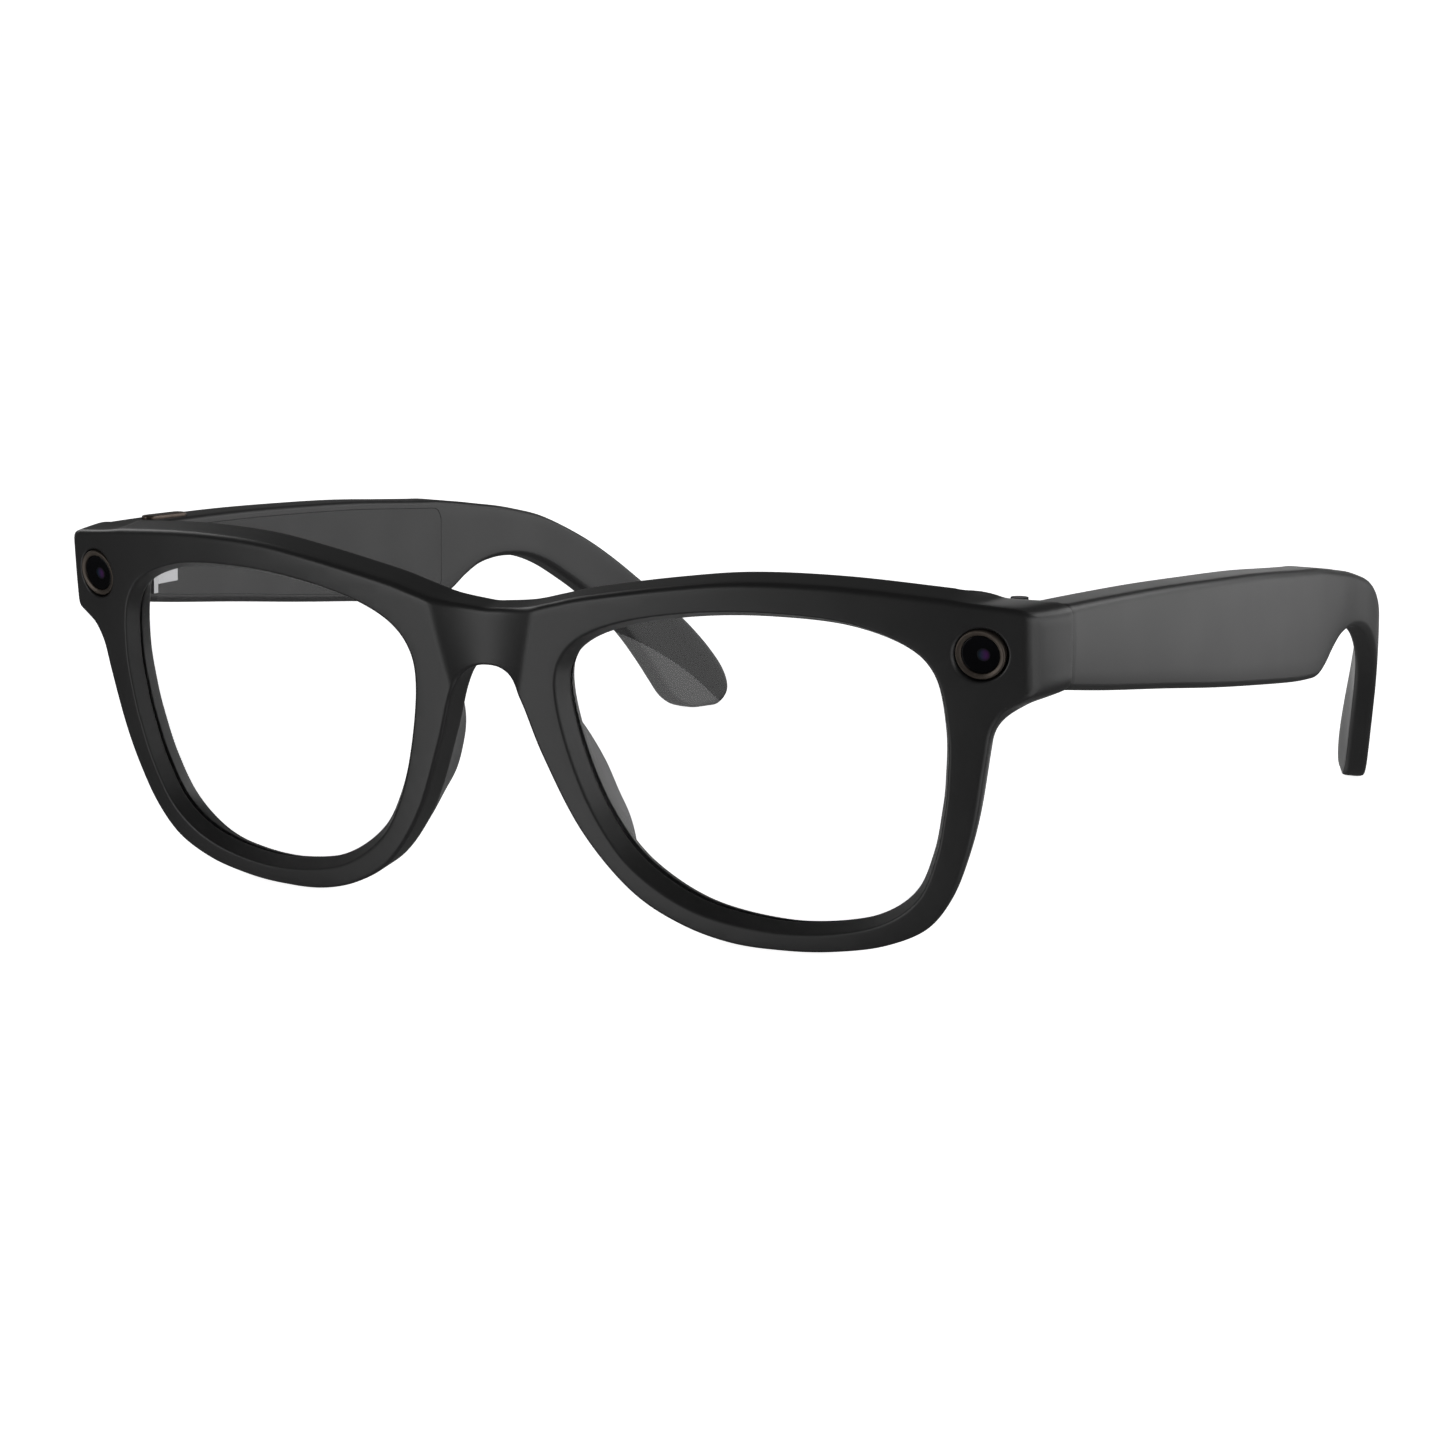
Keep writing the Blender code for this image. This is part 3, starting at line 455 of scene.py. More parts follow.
# ---- materials -------------------------------------------------------------------------------------------------
def surface(
    name, colour, roughness, metallic=0.0, vary=0.12, rough_vary=0.05, grain=2600.0, bump=0.12, grain_depth=2e-5,
    wear=0.25, wear_colour=None, stretch=(1.0, 1.0, 1.0), coat=0.0, specular=0.5, blotch=90.0,
):
    """Moulded plastic or metal: fine grain, soft variation of colour and roughness, and slightly polished edges."""
    mat = bpy.data.materials.new(name)
    mat.use_nodes = True
    nodes, links = mat.node_tree.nodes, mat.node_tree.links
    shader = nodes["Principled BSDF"]
    shader.inputs["Metallic"].default_value = metallic
    shader.inputs["Specular IOR Level"].default_value = specular
    if coat:
        shader.inputs["Coat Weight"].default_value = coat
        shader.inputs["Coat Roughness"].default_value = 0.12
    where = nodes.new("ShaderNodeTexCoord")
    scale = nodes.new("ShaderNodeMapping")
    scale.inputs["Scale"].default_value = stretch
    links.new(where.outputs["Object"], scale.inputs["Vector"])
    fine = nodes.new("ShaderNodeTexNoise")
    fine.inputs["Scale"].default_value = grain
    fine.inputs["Detail"].default_value = 3.0
    broad = nodes.new("ShaderNodeTexNoise")
    broad.inputs["Scale"].default_value = blotch
    broad.inputs["Detail"].default_value = 2.0
    for n in (fine, broad):
        links.new(scale.outputs["Vector"], n.inputs["Vector"])
    # colour: base, a little lighter and darker in soft patches, and lighter along worn edges
    tone = nodes.new("ShaderNodeValToRGB")
    tone.color_ramp.elements[0].position = 0.35
    tone.color_ramp.elements[1].position = 0.65
    tone.color_ramp.elements[0].color = (*[c * (1 - vary) for c in colour], 1.0)
    tone.color_ramp.elements[1].color = (*[c * (1 + vary) for c in colour], 1.0)
    links.new(broad.outputs["Fac"], tone.inputs["Fac"])
    shape = nodes.new("ShaderNodeNewGeometry")
    edge = nodes.new("ShaderNodeMapRange")
    edge.inputs["From Min"].default_value = 0.53
    edge.inputs["From Max"].default_value = 0.62
    edge.inputs["To Max"].default_value = wear
    links.new(shape.outputs["Pointiness"], edge.inputs["Value"])
    worn = nodes.new("ShaderNodeMix")
    worn.data_type = "RGBA"
    worn.inputs["B"].default_value = (*(wear_colour or [min(1.0, c * 1.7) for c in colour]), 1.0)
    links.new(edge.outputs["Result"], worn.inputs["Factor"])
    links.new(tone.outputs["Color"], worn.inputs["A"])
    links.new(worn.outputs["Result"], shader.inputs["Base Color"])
    # roughness: patches and grain
    rough = nodes.new("ShaderNodeMapRange")
    rough.inputs["From Min"].default_value = 0.3
    rough.inputs["From Max"].default_value = 0.7
    rough.inputs["To Min"].default_value = roughness - rough_vary
    rough.inputs["To Max"].default_value = roughness + rough_vary
    links.new(broad.outputs["Fac"], rough.inputs["Value"])
    links.new(rough.outputs["Result"], shader.inputs["Roughness"])
    lift = nodes.new("ShaderNodeBump")
    lift.inputs["Strength"].default_value = bump
    lift.inputs["Distance"].default_value = grain_depth
    links.new(fine.outputs["Fac"], lift.inputs["Height"])
    links.new(lift.outputs["Normal"], shader.inputs["Normal"])
    return mat


def clear_lens(name):
    mat = bpy.data.materials.new(name)
    mat.use_nodes = True
    nodes, links = mat.node_tree.nodes, mat.node_tree.links
    shader = nodes["Principled BSDF"]
    shader.inputs["Base Color"].default_value = (1.0, 1.0, 1.0, 1.0)
    shader.inputs["Transmission Weight"].default_value = 1.0
    shader.inputs["IOR"].default_value = 1.45
    where = nodes.new("ShaderNodeTexCoord")
    film = nodes.new("ShaderNodeTexNoise")
    film.inputs["Scale"].default_value = 60.0
    film.inputs["Detail"].default_value = 4.0
    links.new(where.outputs["Object"], film.inputs["Vector"])
    rough = nodes.new("ShaderNodeMapRange")
    rough.inputs["From Min"].default_value = 0.45
    rough.inputs["From Max"].default_value = 0.75
    rough.inputs["To Min"].default_value = 0.0
    rough.inputs["To Max"].default_value = 0.003
    links.new(film.outputs["Fac"], rough.inputs["Value"])
    links.new(rough.outputs["Result"], shader.inputs["Roughness"])
    return mat


def optic(name):
    """Small lens element behind the black window: dark, with a painted reflection in its base colour, teal on one side
    and violet on the other, that fades outwards.
    """
    mat = surface(name, (0.006, 0.004, 0.010), 0.5, vary=0.3, rough_vary=0.05, bump=0.02, wear=0.0, specular=0.1)
    nodes, links = mat.node_tree.nodes, mat.node_tree.links
    shader = nodes["Principled BSDF"]
    where = nodes.new("ShaderNodeTexCoord")
    split = nodes.new("ShaderNodeSeparateXYZ")
    links.new(where.outputs["Object"], split.inputs["Vector"])
    # painted reflection: the base colour is teal on one half and violet on the other, then fades to near-black outwards
    side = nodes.new("ShaderNodeMapRange")
    side.inputs["From Min"].default_value = -0.0005
    side.inputs["From Max"].default_value = 0.0005
    links.new(split.outputs["X"], side.inputs["Value"])
    painted_reflection_tint = nodes.new("ShaderNodeValToRGB")
    painted_reflection_tint.color_ramp.elements[0].color = (0.001, 0.010, 0.022, 1.0)
    painted_reflection_tint.color_ramp.elements[1].color = (0.034, 0.002, 0.050, 1.0)
    links.new(side.outputs["Result"], painted_reflection_tint.inputs["Fac"])
    far = nodes.new("ShaderNodeVectorMath")
    far.operation = "LENGTH"
    links.new(where.outputs["Object"], far.inputs[0])
    fade = nodes.new("ShaderNodeMapRange")
    fade.inputs["From Min"].default_value = 0.00045
    fade.inputs["From Max"].default_value = 0.00088
    links.new(far.outputs["Value"], fade.inputs["Value"])
    dark = nodes.new("ShaderNodeMix")
    dark.data_type = "RGBA"
    dark.inputs["B"].default_value = (0.0012, 0.0012, 0.0016, 1.0)
    links.new(fade.outputs["Result"], dark.inputs["Factor"])
    links.new(painted_reflection_tint.outputs["Color"], dark.inputs["A"])
    links.new(dark.outputs["Result"], shader.inputs["Base Color"])
    return mat


NYLON = surface("matte_nylon", (0.0085, 0.0085, 0.0087), 0.385, vary=0.10, rough_vary=0.018, bump=0.05, grain=7500.0, wear=0.12)
COVER = surface("satin_cover", (0.0085, 0.0085, 0.0087), 0.39, vary=0.10, rough_vary=0.03, bump=0.05, grain=7000.0, wear=0.10)
PAD = surface("pad_plastic", (0.050, 0.050, 0.051), 0.40, vary=0.08, rough_vary=0.04, bump=0.04, grain=6000.0, wear=0.12)
LENS = clear_lens("clear_lens")
GLASS = surface("black_window", (0.0012, 0.0012, 0.0016), 0.10, vary=0.3, rough_vary=0.02, bump=0.01, wear=0.0, specular=0.12)
# the optic's teal and violet colour is a painted reflection, not a coating
OPTIC_PAINTED_REFLECTION = optic("optic_painted_reflection")
RING = surface("bronze_ring", (0.075, 0.062, 0.052), 0.42, metallic=0.8, vary=0.18, rough_vary=0.06, bump=0.10, grain=3200.0, wear=0.45, stretch=(1.0, 1.0, 6.0))
BUTTON = surface("button_bronze", (0.120, 0.092, 0.074), 0.36, metallic=0.75, vary=0.15, rough_vary=0.05, bump=0.12, grain=3000.0, wear=0.5, stretch=(1.0, 8.0, 1.0))
STEEL = surface("hinge_steel", (0.46, 0.46, 0.47), 0.30, metallic=1.0, vary=0.08, rough_vary=0.07, bump=0.15, grain=2200.0, wear=0.3, stretch=(6.0, 6.0, 1.0))
PIN = surface("blackened_pin", (0.020, 0.020, 0.021), 0.42, metallic=0.6, vary=0.1, rough_vary=0.05, bump=0.08, grain=4000.0, wear=0.3)
GOLD = surface("contact_gold", (0.76, 0.56, 0.27), 0.26, metallic=1.0, vary=0.08, rough_vary=0.06, bump=0.08, grain=3000.0, wear=0.2)
BOARD = surface("circuit_board", (0.012, 0.050, 0.030), 0.42, vary=0.25, rough_vary=0.08, bump=0.2, grain=1400.0, wear=0.1)
FLEX = surface("flex_film", (0.30, 0.14, 0.03), 0.36, vary=0.12, rough_vary=0.05, bump=0.1, grain=900.0, wear=0.1)
CELL = surface("battery_foil", (0.42, 0.43, 0.45), 0.34, metallic=0.7, vary=0.08, rough_vary=0.08, bump=0.2, grain=700.0, wear=0.1)
PLASTIC = surface("black_plastic", (0.015, 0.015, 0.016), 0.40, vary=0.12, rough_vary=0.05, bump=0.14, grain=2400.0, wear=0.15)

SLOT_LOOK = {
    "frame": NYLON, "cover": COVER, "lens": LENS, "bezel": RING, "window": GLASS, "black_part": PLASTIC, "board": BOARD,
    "flex": FLEX, "contact": GOLD, "pad": PAD, "steel": STEEL, "cell": CELL, "button": BUTTON,
}
NODE_LOOK = {
    "front_frame": NYLON, "temple_shell": NYLON, "temple_cover": COVER, "rear_brow_cover": COVER, "lens": LENS, "bezel": RING,
    "window": GLASS, "camera_module": PLASTIC, "light_board": BOARD, "front_flex": FLEX, "nose_mic": PLASTIC, "charging_contact": GOLD,
    "nose_pad": PAD, "hinge_screw": PIN, "hinge": STEEL, "battery_board": BOARD, "battery": CELL, "speaker": PLASTIC, "microphone": PLASTIC,
    "main_board": BOARD, "shield_can": STEEL, "touch_sensor": FLEX, "capture_switch": PLASTIC, "capture_button": BUTTON, "power_switch": PLASTIC,
}
for node_name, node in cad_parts.items():
    look = next((mat for key, mat in sorted(NODE_LOOK.items(), key=lambda kv: -len(kv[0])) if key in node_name), PLASTIC)
    if not node.data.materials:
        node.data.materials.append(look)
    for i in range(len(node.data.materials)):
        node.data.materials[i] = look

# ---- front frame -----------------------------------------------------------------------------------------------
half = catmull(TOP_EDGE, False, 24) + catmull(END_EDGE, False, 12) + catmull(LOW_EDGE, False, 24)
outline_half = resample(half, False, 371)
outline = list(reversed(outline_half[1:-1])) + [(-x, y) for x, y in outline_half]
outline = relax(outline, 6)
opening_left = relax(resample(catmull(LENS_OPENING, True, 24), True, 320), 10)
opening_right = mirror_loop(opening_left)
openings = {"left": opening_left, "right": opening_right}


def edge_radius(u, v):
    return 0.5 + 0.25 * smooth(v, 14.0, 18.0)


def rear_radius(u, v):
    return (0.65 - 0.25 * smooth(v, 12.0, 15.0)) * (1 - end_weight(u, v)) + 0.1 * end_weight(u, v)


def outline_row(kind, t):
    """One row round the outside: over the front edge, along the wall, or over the rear edge."""
    insets, shares = [], []
    for u, v in outline:
        depth = depth_at(u, v)
        rf, rr = edge_radius(u, v), rear_radius(u, v)
        a = t * math.pi / 2
        if kind == "front":
            inset, d = rf * (1 - math.sin(a)), rf * (1 - math.cos(a))
        elif kind == "wall":
            inset, d = 0.0, rf + (depth - rf - rr) * t
        else:
            inset, d = rr * (1 - math.cos(a)), depth - rr * (1 - math.sin(a))
        share = d / depth
        insets.append(inset + taper(u, v) * share**1.4)
        shares.append(share)
    flat = offset(outline, insets)
    return flat, shares


bm = bmesh.new()
specs = [("front", k / 6) for k in range(7)] + [("wall", k / 6) for k in range(1, 6)] + [("rear", k / 5) for k in range(6)]
outer = []
for kind, t in specs:
    flat, shares = outline_row(kind, t)
    outer.append((flat, add_loop(bm, [on_front(u, v, s) for (u, v), s in zip(flat, shares)])))
for (_, a), (_, b) in zip(outer, outer[1:]):
    bridge(bm, a, b)

front_holes, rear_holes = [], []
for side, loop in openings.items():
    profile = bend((-0.32, 0.0), (0.02, 0.0), (0.16, 0.32), 5)  # rounded front edge
    profile += [(0.16 + 0.84 * k / 6, 0.32 + 1.55 * k / 6) for k in range(1, 7)]
    profile += bend((1.02, 1.92), (BEVEL_IN, 2.1), (0.95, 2.12), 3)
    profile += [(GROOVE_IN, 2.14), (GROOVE_IN, GROOVE_REAR)]
    profile += bend((LIP_IN - 0.15, GROOVE_REAR), (LIP_IN, GROOVE_REAR), (LIP_IN - 0.02, GROOVE_REAR + 0.18), 3)
    rows = []
    for inset, d in profile:
        flat = offset(loop, inset)
        rows.append((flat, add_loop(bm, [behind_front(u, v, d) for u, v in flat])))
    outer_side = [outer_bar(u, v) for u, v in loop]
    for k, (inset, back) in enumerate([(REAR_IN + 0.12, 0.75)] + bend((REAR_IN, 0.42), (REAR_IN, 0.0), (REAR_IN - 0.42, 0.0), 5)):
        straight = LIP_IN - REAR_IN + 0.02 - (0.12 if k == 0 else 0.0)
        flat = offset(loop, [inset + straight * w for w in outer_side])
        rows.append((flat, add_loop(bm, [from_back(u, v, back) for u, v in flat])))
    for (_, a), (_, b) in zip(rows, rows[1:]):
        bridge(bm, a, b)
    front_holes.append(rows[0])
    rear_holes.append(rows[-1])

EYE_SURFACE = wrap(*EYE)
for side in (1, -1):
    centre = (side * EYE_AT[side], EYE[1])
    rows = []
    for radius, d in bend((POCKET_RADIUS + 0.5, 0.0), (POCKET_RADIUS + 0.06, 0.0), (POCKET_RADIUS, 0.5), 7):
        flat = circle(radius, 96, centre)
        rows.append((flat, add_loop(bm, [on_front(u, v, d / depth_at(u, v)) for u, v in flat])))
    flat = circle(POCKET_RADIUS, 96, centre)
    rows.append((flat, add_loop(bm, [front_to_world(u, EYE_SURFACE + 2.2, v) for u, v in flat])))
    rows.append((flat, add_loop(bm, [front_to_world(u, EYE_SURFACE + POCKET_DEPTH, v) for u, v in flat])))
    for (_, a), (_, b) in zip(rows, rows[1:]):
        bridge(bm, a, b)
    bm.faces.new(rows[-1][1])
    front_holes.append(rows[0])

# channel for the rear brow cover, and the pockets of the microphone and the charging contacts
brow_right = resample(catmull(BROW_HALF, False, 12), False, 90)
brow_path = [(-u, v) for u, v in reversed(brow_right[1:])] + brow_right


def band(path, half_width):
    """Closed counter-clockwise loop round a path, with rounded ends."""
    sides = ([], [])
    for i, (u, v) in enumerate(path):
        (ax, ay), (bx, by) = path[max(i - 1, 0)], path[min(i + 1, len(path) - 1)]
        size = math.hypot(bx - ax, by - ay)
        nx, ny = -(by - ay) / size * half_width, (bx - ax) / size * half_width
        sides[0].append((u - nx, v - ny))
        sides[1].append((u + nx, v + ny))

    def cap(i, j):
        (u, v), (au, av) = path[i], path[j]
        start = math.atan2(sides[0][i][1] - v, sides[0][i][0] - u) if i else math.atan2(sides[1][i][1] - v, sides[1][i][0] - u)
        return [(u + half_width * math.cos(start + math.pi * k / 8), v + half_width * math.sin(start + math.pi * k / 8)) for k in range(1, 8)]

    return sides[0] + cap(-1, -2) + list(reversed(sides[1])) + cap(0, 1)


def rounded_box(u0, v0, u1, v1, r, count=5):
    out = []
    for cx, cy, start in ((u1 - r, v0 + r, -90), (u1 - r, v1 - r, 0), (u0 + r, v1 - r, 90), (u0 + r, v0 + r, 180)):
        out += [(cx + r * math.cos(math.radians(start + 90 * k / count)), cy + r * math.sin(math.radians(start + 90 * k / count))) for k in range(count + 1)]
    return out


def sink(loop, depth, edge=0.12):
    """A pocket in the rear face."""
    rows = []
    for inset, back in bend((-edge, 0.0), (0.0, 0.0), (0.0, edge), 3) + [(0.0, depth)]:
        flat = offset(loop, inset)
        rows.append((flat, add_loop(bm, [from_back(u, v, back) for u, v in flat])))
    for (_, a), (_, b) in zip(rows, rows[1:]):
        bridge(bm, a, b)
    fill(bm, [rows[-1]], [], None)
    rear_holes.append(rows[0])


sink(band(brow_path, 0.86), 1.9, 0.08)
sink(rounded_box(-1.15, 13.05, 1.15, 15.05, 0.35), 1.9)
for side in (1, -1):
    u0, u1 = sorted((side * 1.9, side * 5.1))
    sink(rounded_box(u0, 13.2, u1, 15.0, 0.5), 1.3)

dots = [(x * 1.3, y * 1.3) for x in range(-56, 57) for y in range(-19, 20) if not (abs(x * 1.3) < 9.3 and y * 1.3 > 6) and abs(x * 1.3) < 69.6]
dots += [(x * 0.42, y * 0.7) for x in range(-22, 23) for y in range(9, 31)]
dots += [(s * (69.75 + 0.22 * x), y * 0.8) for s in (1, -1) for x in range(7) for y in range(10, 29)]
rear_dots = [(x * 1.5, y * 1.5) for x in range(-49, 50) for y in range(-16, 17)]
fill(bm, [outer[0]] + front_holes, dots, lambda u, v: on_front(u, v, 0.0), clear=0.28)
fill(bm, [outer[-1]] + rear_holes, rear_dots, lambda u, v: on_front(u, v, 1.0))
front = piece("front_shell", bm, NYLON, "front", ["front_frame"], sharp=40.0)

# rear brow cover: a slim strip flush with the rear face
path = brow_path[2:-2]
bm = bmesh.new()
rows = []
for inset, back in [(0.0, 0.75), (0.0, 0.2)] + bend((0.0, 0.14), (0.0, 0.02), (0.14, 0.02), 3):
    flat = offset(band(path, 0.72), inset)
    rows.append((flat, add_loop(bm, [from_back(u, v, back) for u, v in flat])))
for (_, a), (_, b) in zip(rows, rows[1:]):
    bridge(bm, a, b)
fill(bm, [rows[0]], [], None)
fill(bm, [rows[-1]], [], None)
piece("brow_cover", bm, COVER, "front", ["rear_brow_cover"])

for side, name in ((1, "left"), (-1, "right")):
    u0, u1 = sorted((side * 2.05, side * 4.95))
    bm = bmesh.new()
    rows = []
    for inset, back in [(0.0, 1.15), (0.0, 0.15)] + bend((0.0, 0.12), (0.0, -0.02), (0.2, -0.04), 3):
        flat = offset(rounded_box(u0, 13.35, u1, 14.85, 0.42), inset)
        rows.append((flat, add_loop(bm, [from_back(u, v, back) for u, v in flat])))
    for (_, a), (_, b) in zip(rows, rows[1:]):
        bridge(bm, a, b)
    fill(bm, [rows[0]], [], None)
    fill(bm, [rows[-1]], [], None)
    piece(f"contact_plate_{name}", bm, GOLD, "front", [f"charging_contact_{name}"])

# lenses: rings of points that shrink towards the middle, so that both faces stay smooth
for side, loop in openings.items():
    bm = bmesh.new()
    edge = offset(loop, LENS_IN + 0.35)
    middle = (sum(p[0] for p in edge) / len(edge), sum(p[1] for p in edge) / len(edge))
    shrink = [1.0, 0.997] + [1.0 - (k / 26) ** 0.9 for k in range(1, 26)]

    def face(d):
        return [[(middle[0] + (x - middle[0]) * s, middle[1] + (y - middle[1]) * s) for x, y in edge] for s in shrink]

    front_rings = [add_loop(bm, [behind_front(u, v, LENS_FRONT) for u, v in ring]) for ring in face(0)]
    rear_rings = [add_loop(bm, [behind_front(u, v, LENS_REAR) for u, v in ring]) for ring in face(0)]
    rim = []
    for inset, d in [(LENS_IN + 0.12, LENS_FRONT + 0.1), (LENS_IN, LENS_FRONT + 0.35), (LENS_IN, LENS_REAR - 0.35), (LENS_IN + 0.12, LENS_REAR - 0.1)]:
        rim.append(add_loop(bm, [behind_front(u, v, d) for u, v in offset(loop, inset)]))
    rows = list(reversed(front_rings)) + rim + rear_rings
    for a, b in zip(rows, rows[1:]):
        bridge(bm, a, b)
    for ring, d in ((front_rings[-1], LENS_FRONT), (rear_rings[-1], LENS_REAR)):
        tip = bm.verts.new(behind_front(*middle, d))
        for i in range(len(ring)):
            bm.faces.new((ring[i], ring[(i + 1) % len(ring)], tip))
    lens = piece(f"lens_{side}_clear", bm, LENS, "front", [f"lens_{side}"], sharp=12.0)
    lens.visible_shadow = False

# camera and capture light: metal ring, black window, small optic with a painted teal and violet reflection
FRONT_AXES = Matrix.Rotation(TILT, 4, "X")


def eye_matrix(side, depth):
    u = side * EYE_AT[side]
    slope = u / WRAP_RADIUS + 4 * WRAP_QUARTIC * u**3
    turn = Matrix.Rotation(math.atan(slope) * 0.6, 4, "Z")
    return Matrix.Translation(front_to_world(u, wrap(u, EYE[1]) + depth, EYE[1])) @ FRONT_AXES @ turn @ Matrix.Rotation(math.radians(-90), 4, "X")


for side, name in ((1, "camera"), (-1, "light")):
    at = eye_matrix(side, 0.0)
    ring = [(2.40, 1.5), (2.40, 0.34)] + bend((2.40, 0.30), (2.42, 0.22), (2.50, 0.18), 3) + [(2.64, 0.13), (2.78, 0.08)]
    ring += bend((2.92, 0.05), (3.08, 0.05), (3.11, 0.30), 5) + [(3.11, 1.5)]
    bm = turned(ring, 128, Matrix.Identity(4))
    obj = piece(f"{name}_ring", bm, RING, None)
    obj.matrix_world = at
    finish_piece(obj, "front", [f"{name}_bezel"])
    disc = [(0.0, 0.30), (2.20, 0.30)] + bend((2.24, 0.30), (2.37, 0.31), (2.37, 0.44), 3) + [(2.37, 1.4), (0.0, 1.4)]
    bm = turned(disc, 96, Matrix.Identity(4))
    obj = piece(f"{name}_glass", bm, GLASS, None)
    obj.matrix_world = at
    finish_piece(obj, "front", [f"{name}_window"])
    dome = [(0.0, 0.24)] + [(0.84 * k / 10, 0.24 + 0.055 * (k / 10) ** 2) for k in range(1, 11)] + [(0.84, 0.299), (0.0, 0.299)]
    bm = turned(dome, 64, Matrix.Identity(4))
    obj = piece(f"{name}_optic", bm, OPTIC_PAINTED_REFLECTION, None)
    obj.matrix_world = at @ Matrix.Translation((0.4 * MM, 0.0, 0.0))
    finish_piece(obj, "front")

# nose pads
for side, name in ((1, "left"), (-1, "right")):
    rows = []
    count = 64
    for i in range(count + 1):
        t = i / count
        v = PAD_TOP - PAD_FALL * t
        grow = math.sin(math.pi * (0.004 + 0.992 * t)) ** 0.6
        reach = PAD_REACH * grow
        rear = along(PAD_REAR, v)
        low = along(RIM_NOSE, v) + 0.5 + 0.7 * (1 - grow)
        high = along(RIM_LENS, v) - 0.2 - 0.9 * (1 - grow)
        y0 = wrap(0.5 * (low + high), v) + RIM_DEPTH + 0.01
        r = min(0.6, 0.45 * PAD_EDGE, max(0.05, 0.4 * reach))
        section = [(low, 0.0), (low + 0.3 * (high - low), 0.0), (low + 0.7 * (high - low), 0.0), (high, 0.0)]
        section += bend((high, 0.05 * reach), (0.35 * high + 0.65 * rear + 0.1, 0.45 * reach), (rear, reach - r), 8)
        section += bend((rear, reach - r), (rear - 0.05, reach), (rear - r, reach + 0.02), 5)[1:]
        section += bend((rear - PAD_EDGE + r, reach + 0.02), (rear - PAD_EDGE + 0.05, reach), (rear - PAD_EDGE, reach - r), 5)
        section += bend((rear - PAD_EDGE, reach - r), (0.45 * low + 0.55 * (rear - PAD_EDGE), 0.45 * reach), (low, 0.05 * reach), 8)[1:]
        rows.append([front_to_world(side * u, y0 + q, v) for u, q in section])
    piece(f"nose_rest_{name}", loft(rows), PAD, "front", [f"nose_pad_{name}"], sharp=50.0)

# ---- temples ---------------------------------------------------------------------------------------------------
pairs = catmull([(*top, *low) for top, low in STATIONS], False, 7)
coarse = catmull([(*top, *low) for top, low in STATIONS], False, 3)


def inner_x(y):
    return along(INNER_PLAN, y)


def outer_x(y):
    return along(INNER_PLAN, y) + along(WIDTH_PLAN, y)


def edge_z(y, top):
    for a, b in zip(coarse, coarse[1:]):
        ya, yb = (a[0], b[0]) if top else (a[2], b[2])
        if ya <= y <= yb:
            t = (y - ya) / (yb - ya)
            return (a[1] + (b[1] - a[1]) * t) if top else (a[3] + (b[3] - a[3]) * t)
    return coarse[0][1] if top else coarse[0][3]


def temple_section(row, shrink=0.0, shift=0.0):
    """Rounded section of the temple between a bottom and a top point; the outer face is slightly crowned."""
    (ty, tz), (by, bz) = row[:2], row[2:]
    height = math.dist((ty, tz), (by, bz))
    x0 = inner_x(0.5 * (ty + by))
    points = []
    width = along(WIDTH_PLAN, 0.5 * (ty + by))
    limit = 0.46 * min(width, height)
    corners = (("bo", 0.95), ("to", 1.15), ("ti", 0.9), ("bi", 0.9))
    half_w, half_h = width / 2 - shrink, height / 2 - shrink
    for key, radius in corners:
        r = max(0.05, min(radius, limit) - shrink)
        sx = 1 if key[1] == "o" else -1
        sh = 1 if key[0] == "t" else -1
        start = {"bo": -90, "to": 0, "ti": 90, "bi": 180}[key]
        for k in range(8):
            a = math.radians(start + 90 * k / 7)
            points.append((sx * (half_w - r) + r * math.cos(a), sh * (half_h - r) + r * math.sin(a)))
        # points along the following side
        nxt = {"bo": (1, 1, 1.15), "to": (-1, 1, 0.9), "ti": (-1, -1, 0.9), "bi": (1, -1, 0.95)}[key]
        rn = max(0.05, min(nxt[2], limit) - shrink)
        ex, eh = points[-1]
        if key in ("bo", "ti"):
            tx_, th_ = ex, nxt[1] * (half_h - rn)
        else:
            tx_, th_ = nxt[0] * (half_w - rn), eh
        for k in range(1, 6):
            points.append((ex + (tx_ - ex) * k / 6, eh + (th_ - eh) * k / 6))
    out = []
    for px, ph in points:
        h = 0.5 + ph / height
        y = by + (ty - by) * h
        z = bz + (tz - bz) * h
        crown = 0.28 * (1 - (2 * h - 1) ** 2) * smooth(px, 0.0, half_w) * smooth(height, 6.0, 10.0)
        out.append((inner_x(y) + width / 2 + px + crown, y + shift, z))
    return out


def shell_rows(side):
    rows = []
    first = pairs[0]
    for y, shrink in ((TEMPLE_FRONT_Y, 0.1), (TEMPLE_FRONT_Y + 0.03, 0.04), (TEMPLE_FRONT_Y + 0.1, 0.0)):
        row = (y, first[1], y, first[3])
        rows.append([(side * x, yy, z) for x, yy, z in temple_section(row, shrink)])
    lengths = [0.0]
    for a, b in zip(pairs, pairs[1:]):
        lengths.append(lengths[-1] + math.dist([(a[0] + a[2]) / 2, (a[1] + a[3]) / 2], [(b[0] + b[2]) / 2, (b[1] + b[3]) / 2]))
    total = lengths[-1]
    for row, s in zip(pairs, lengths):
        if row[0] <= TEMPLE_FRONT_Y + 0.3:
            continue
        left = total - s
        r = 0.9
        shrink = r - math.sqrt(max(0.0, r * r - (r - left) ** 2)) if left < r else 0.0
        section = temple_section(row, 0.0)
        if shrink > 0:
            mid = sum(p[0] for p in section) / len(section)
            half_width = max(abs(p[0] - mid) for p in section)
            section = [(mid + (x - mid) * (half_width - shrink * 0.8) / half_width, y, z) for x, y, z in section]
        rows.append([(side * x, y, max(z, 0.0)) for x, y, z in section])
    return rows


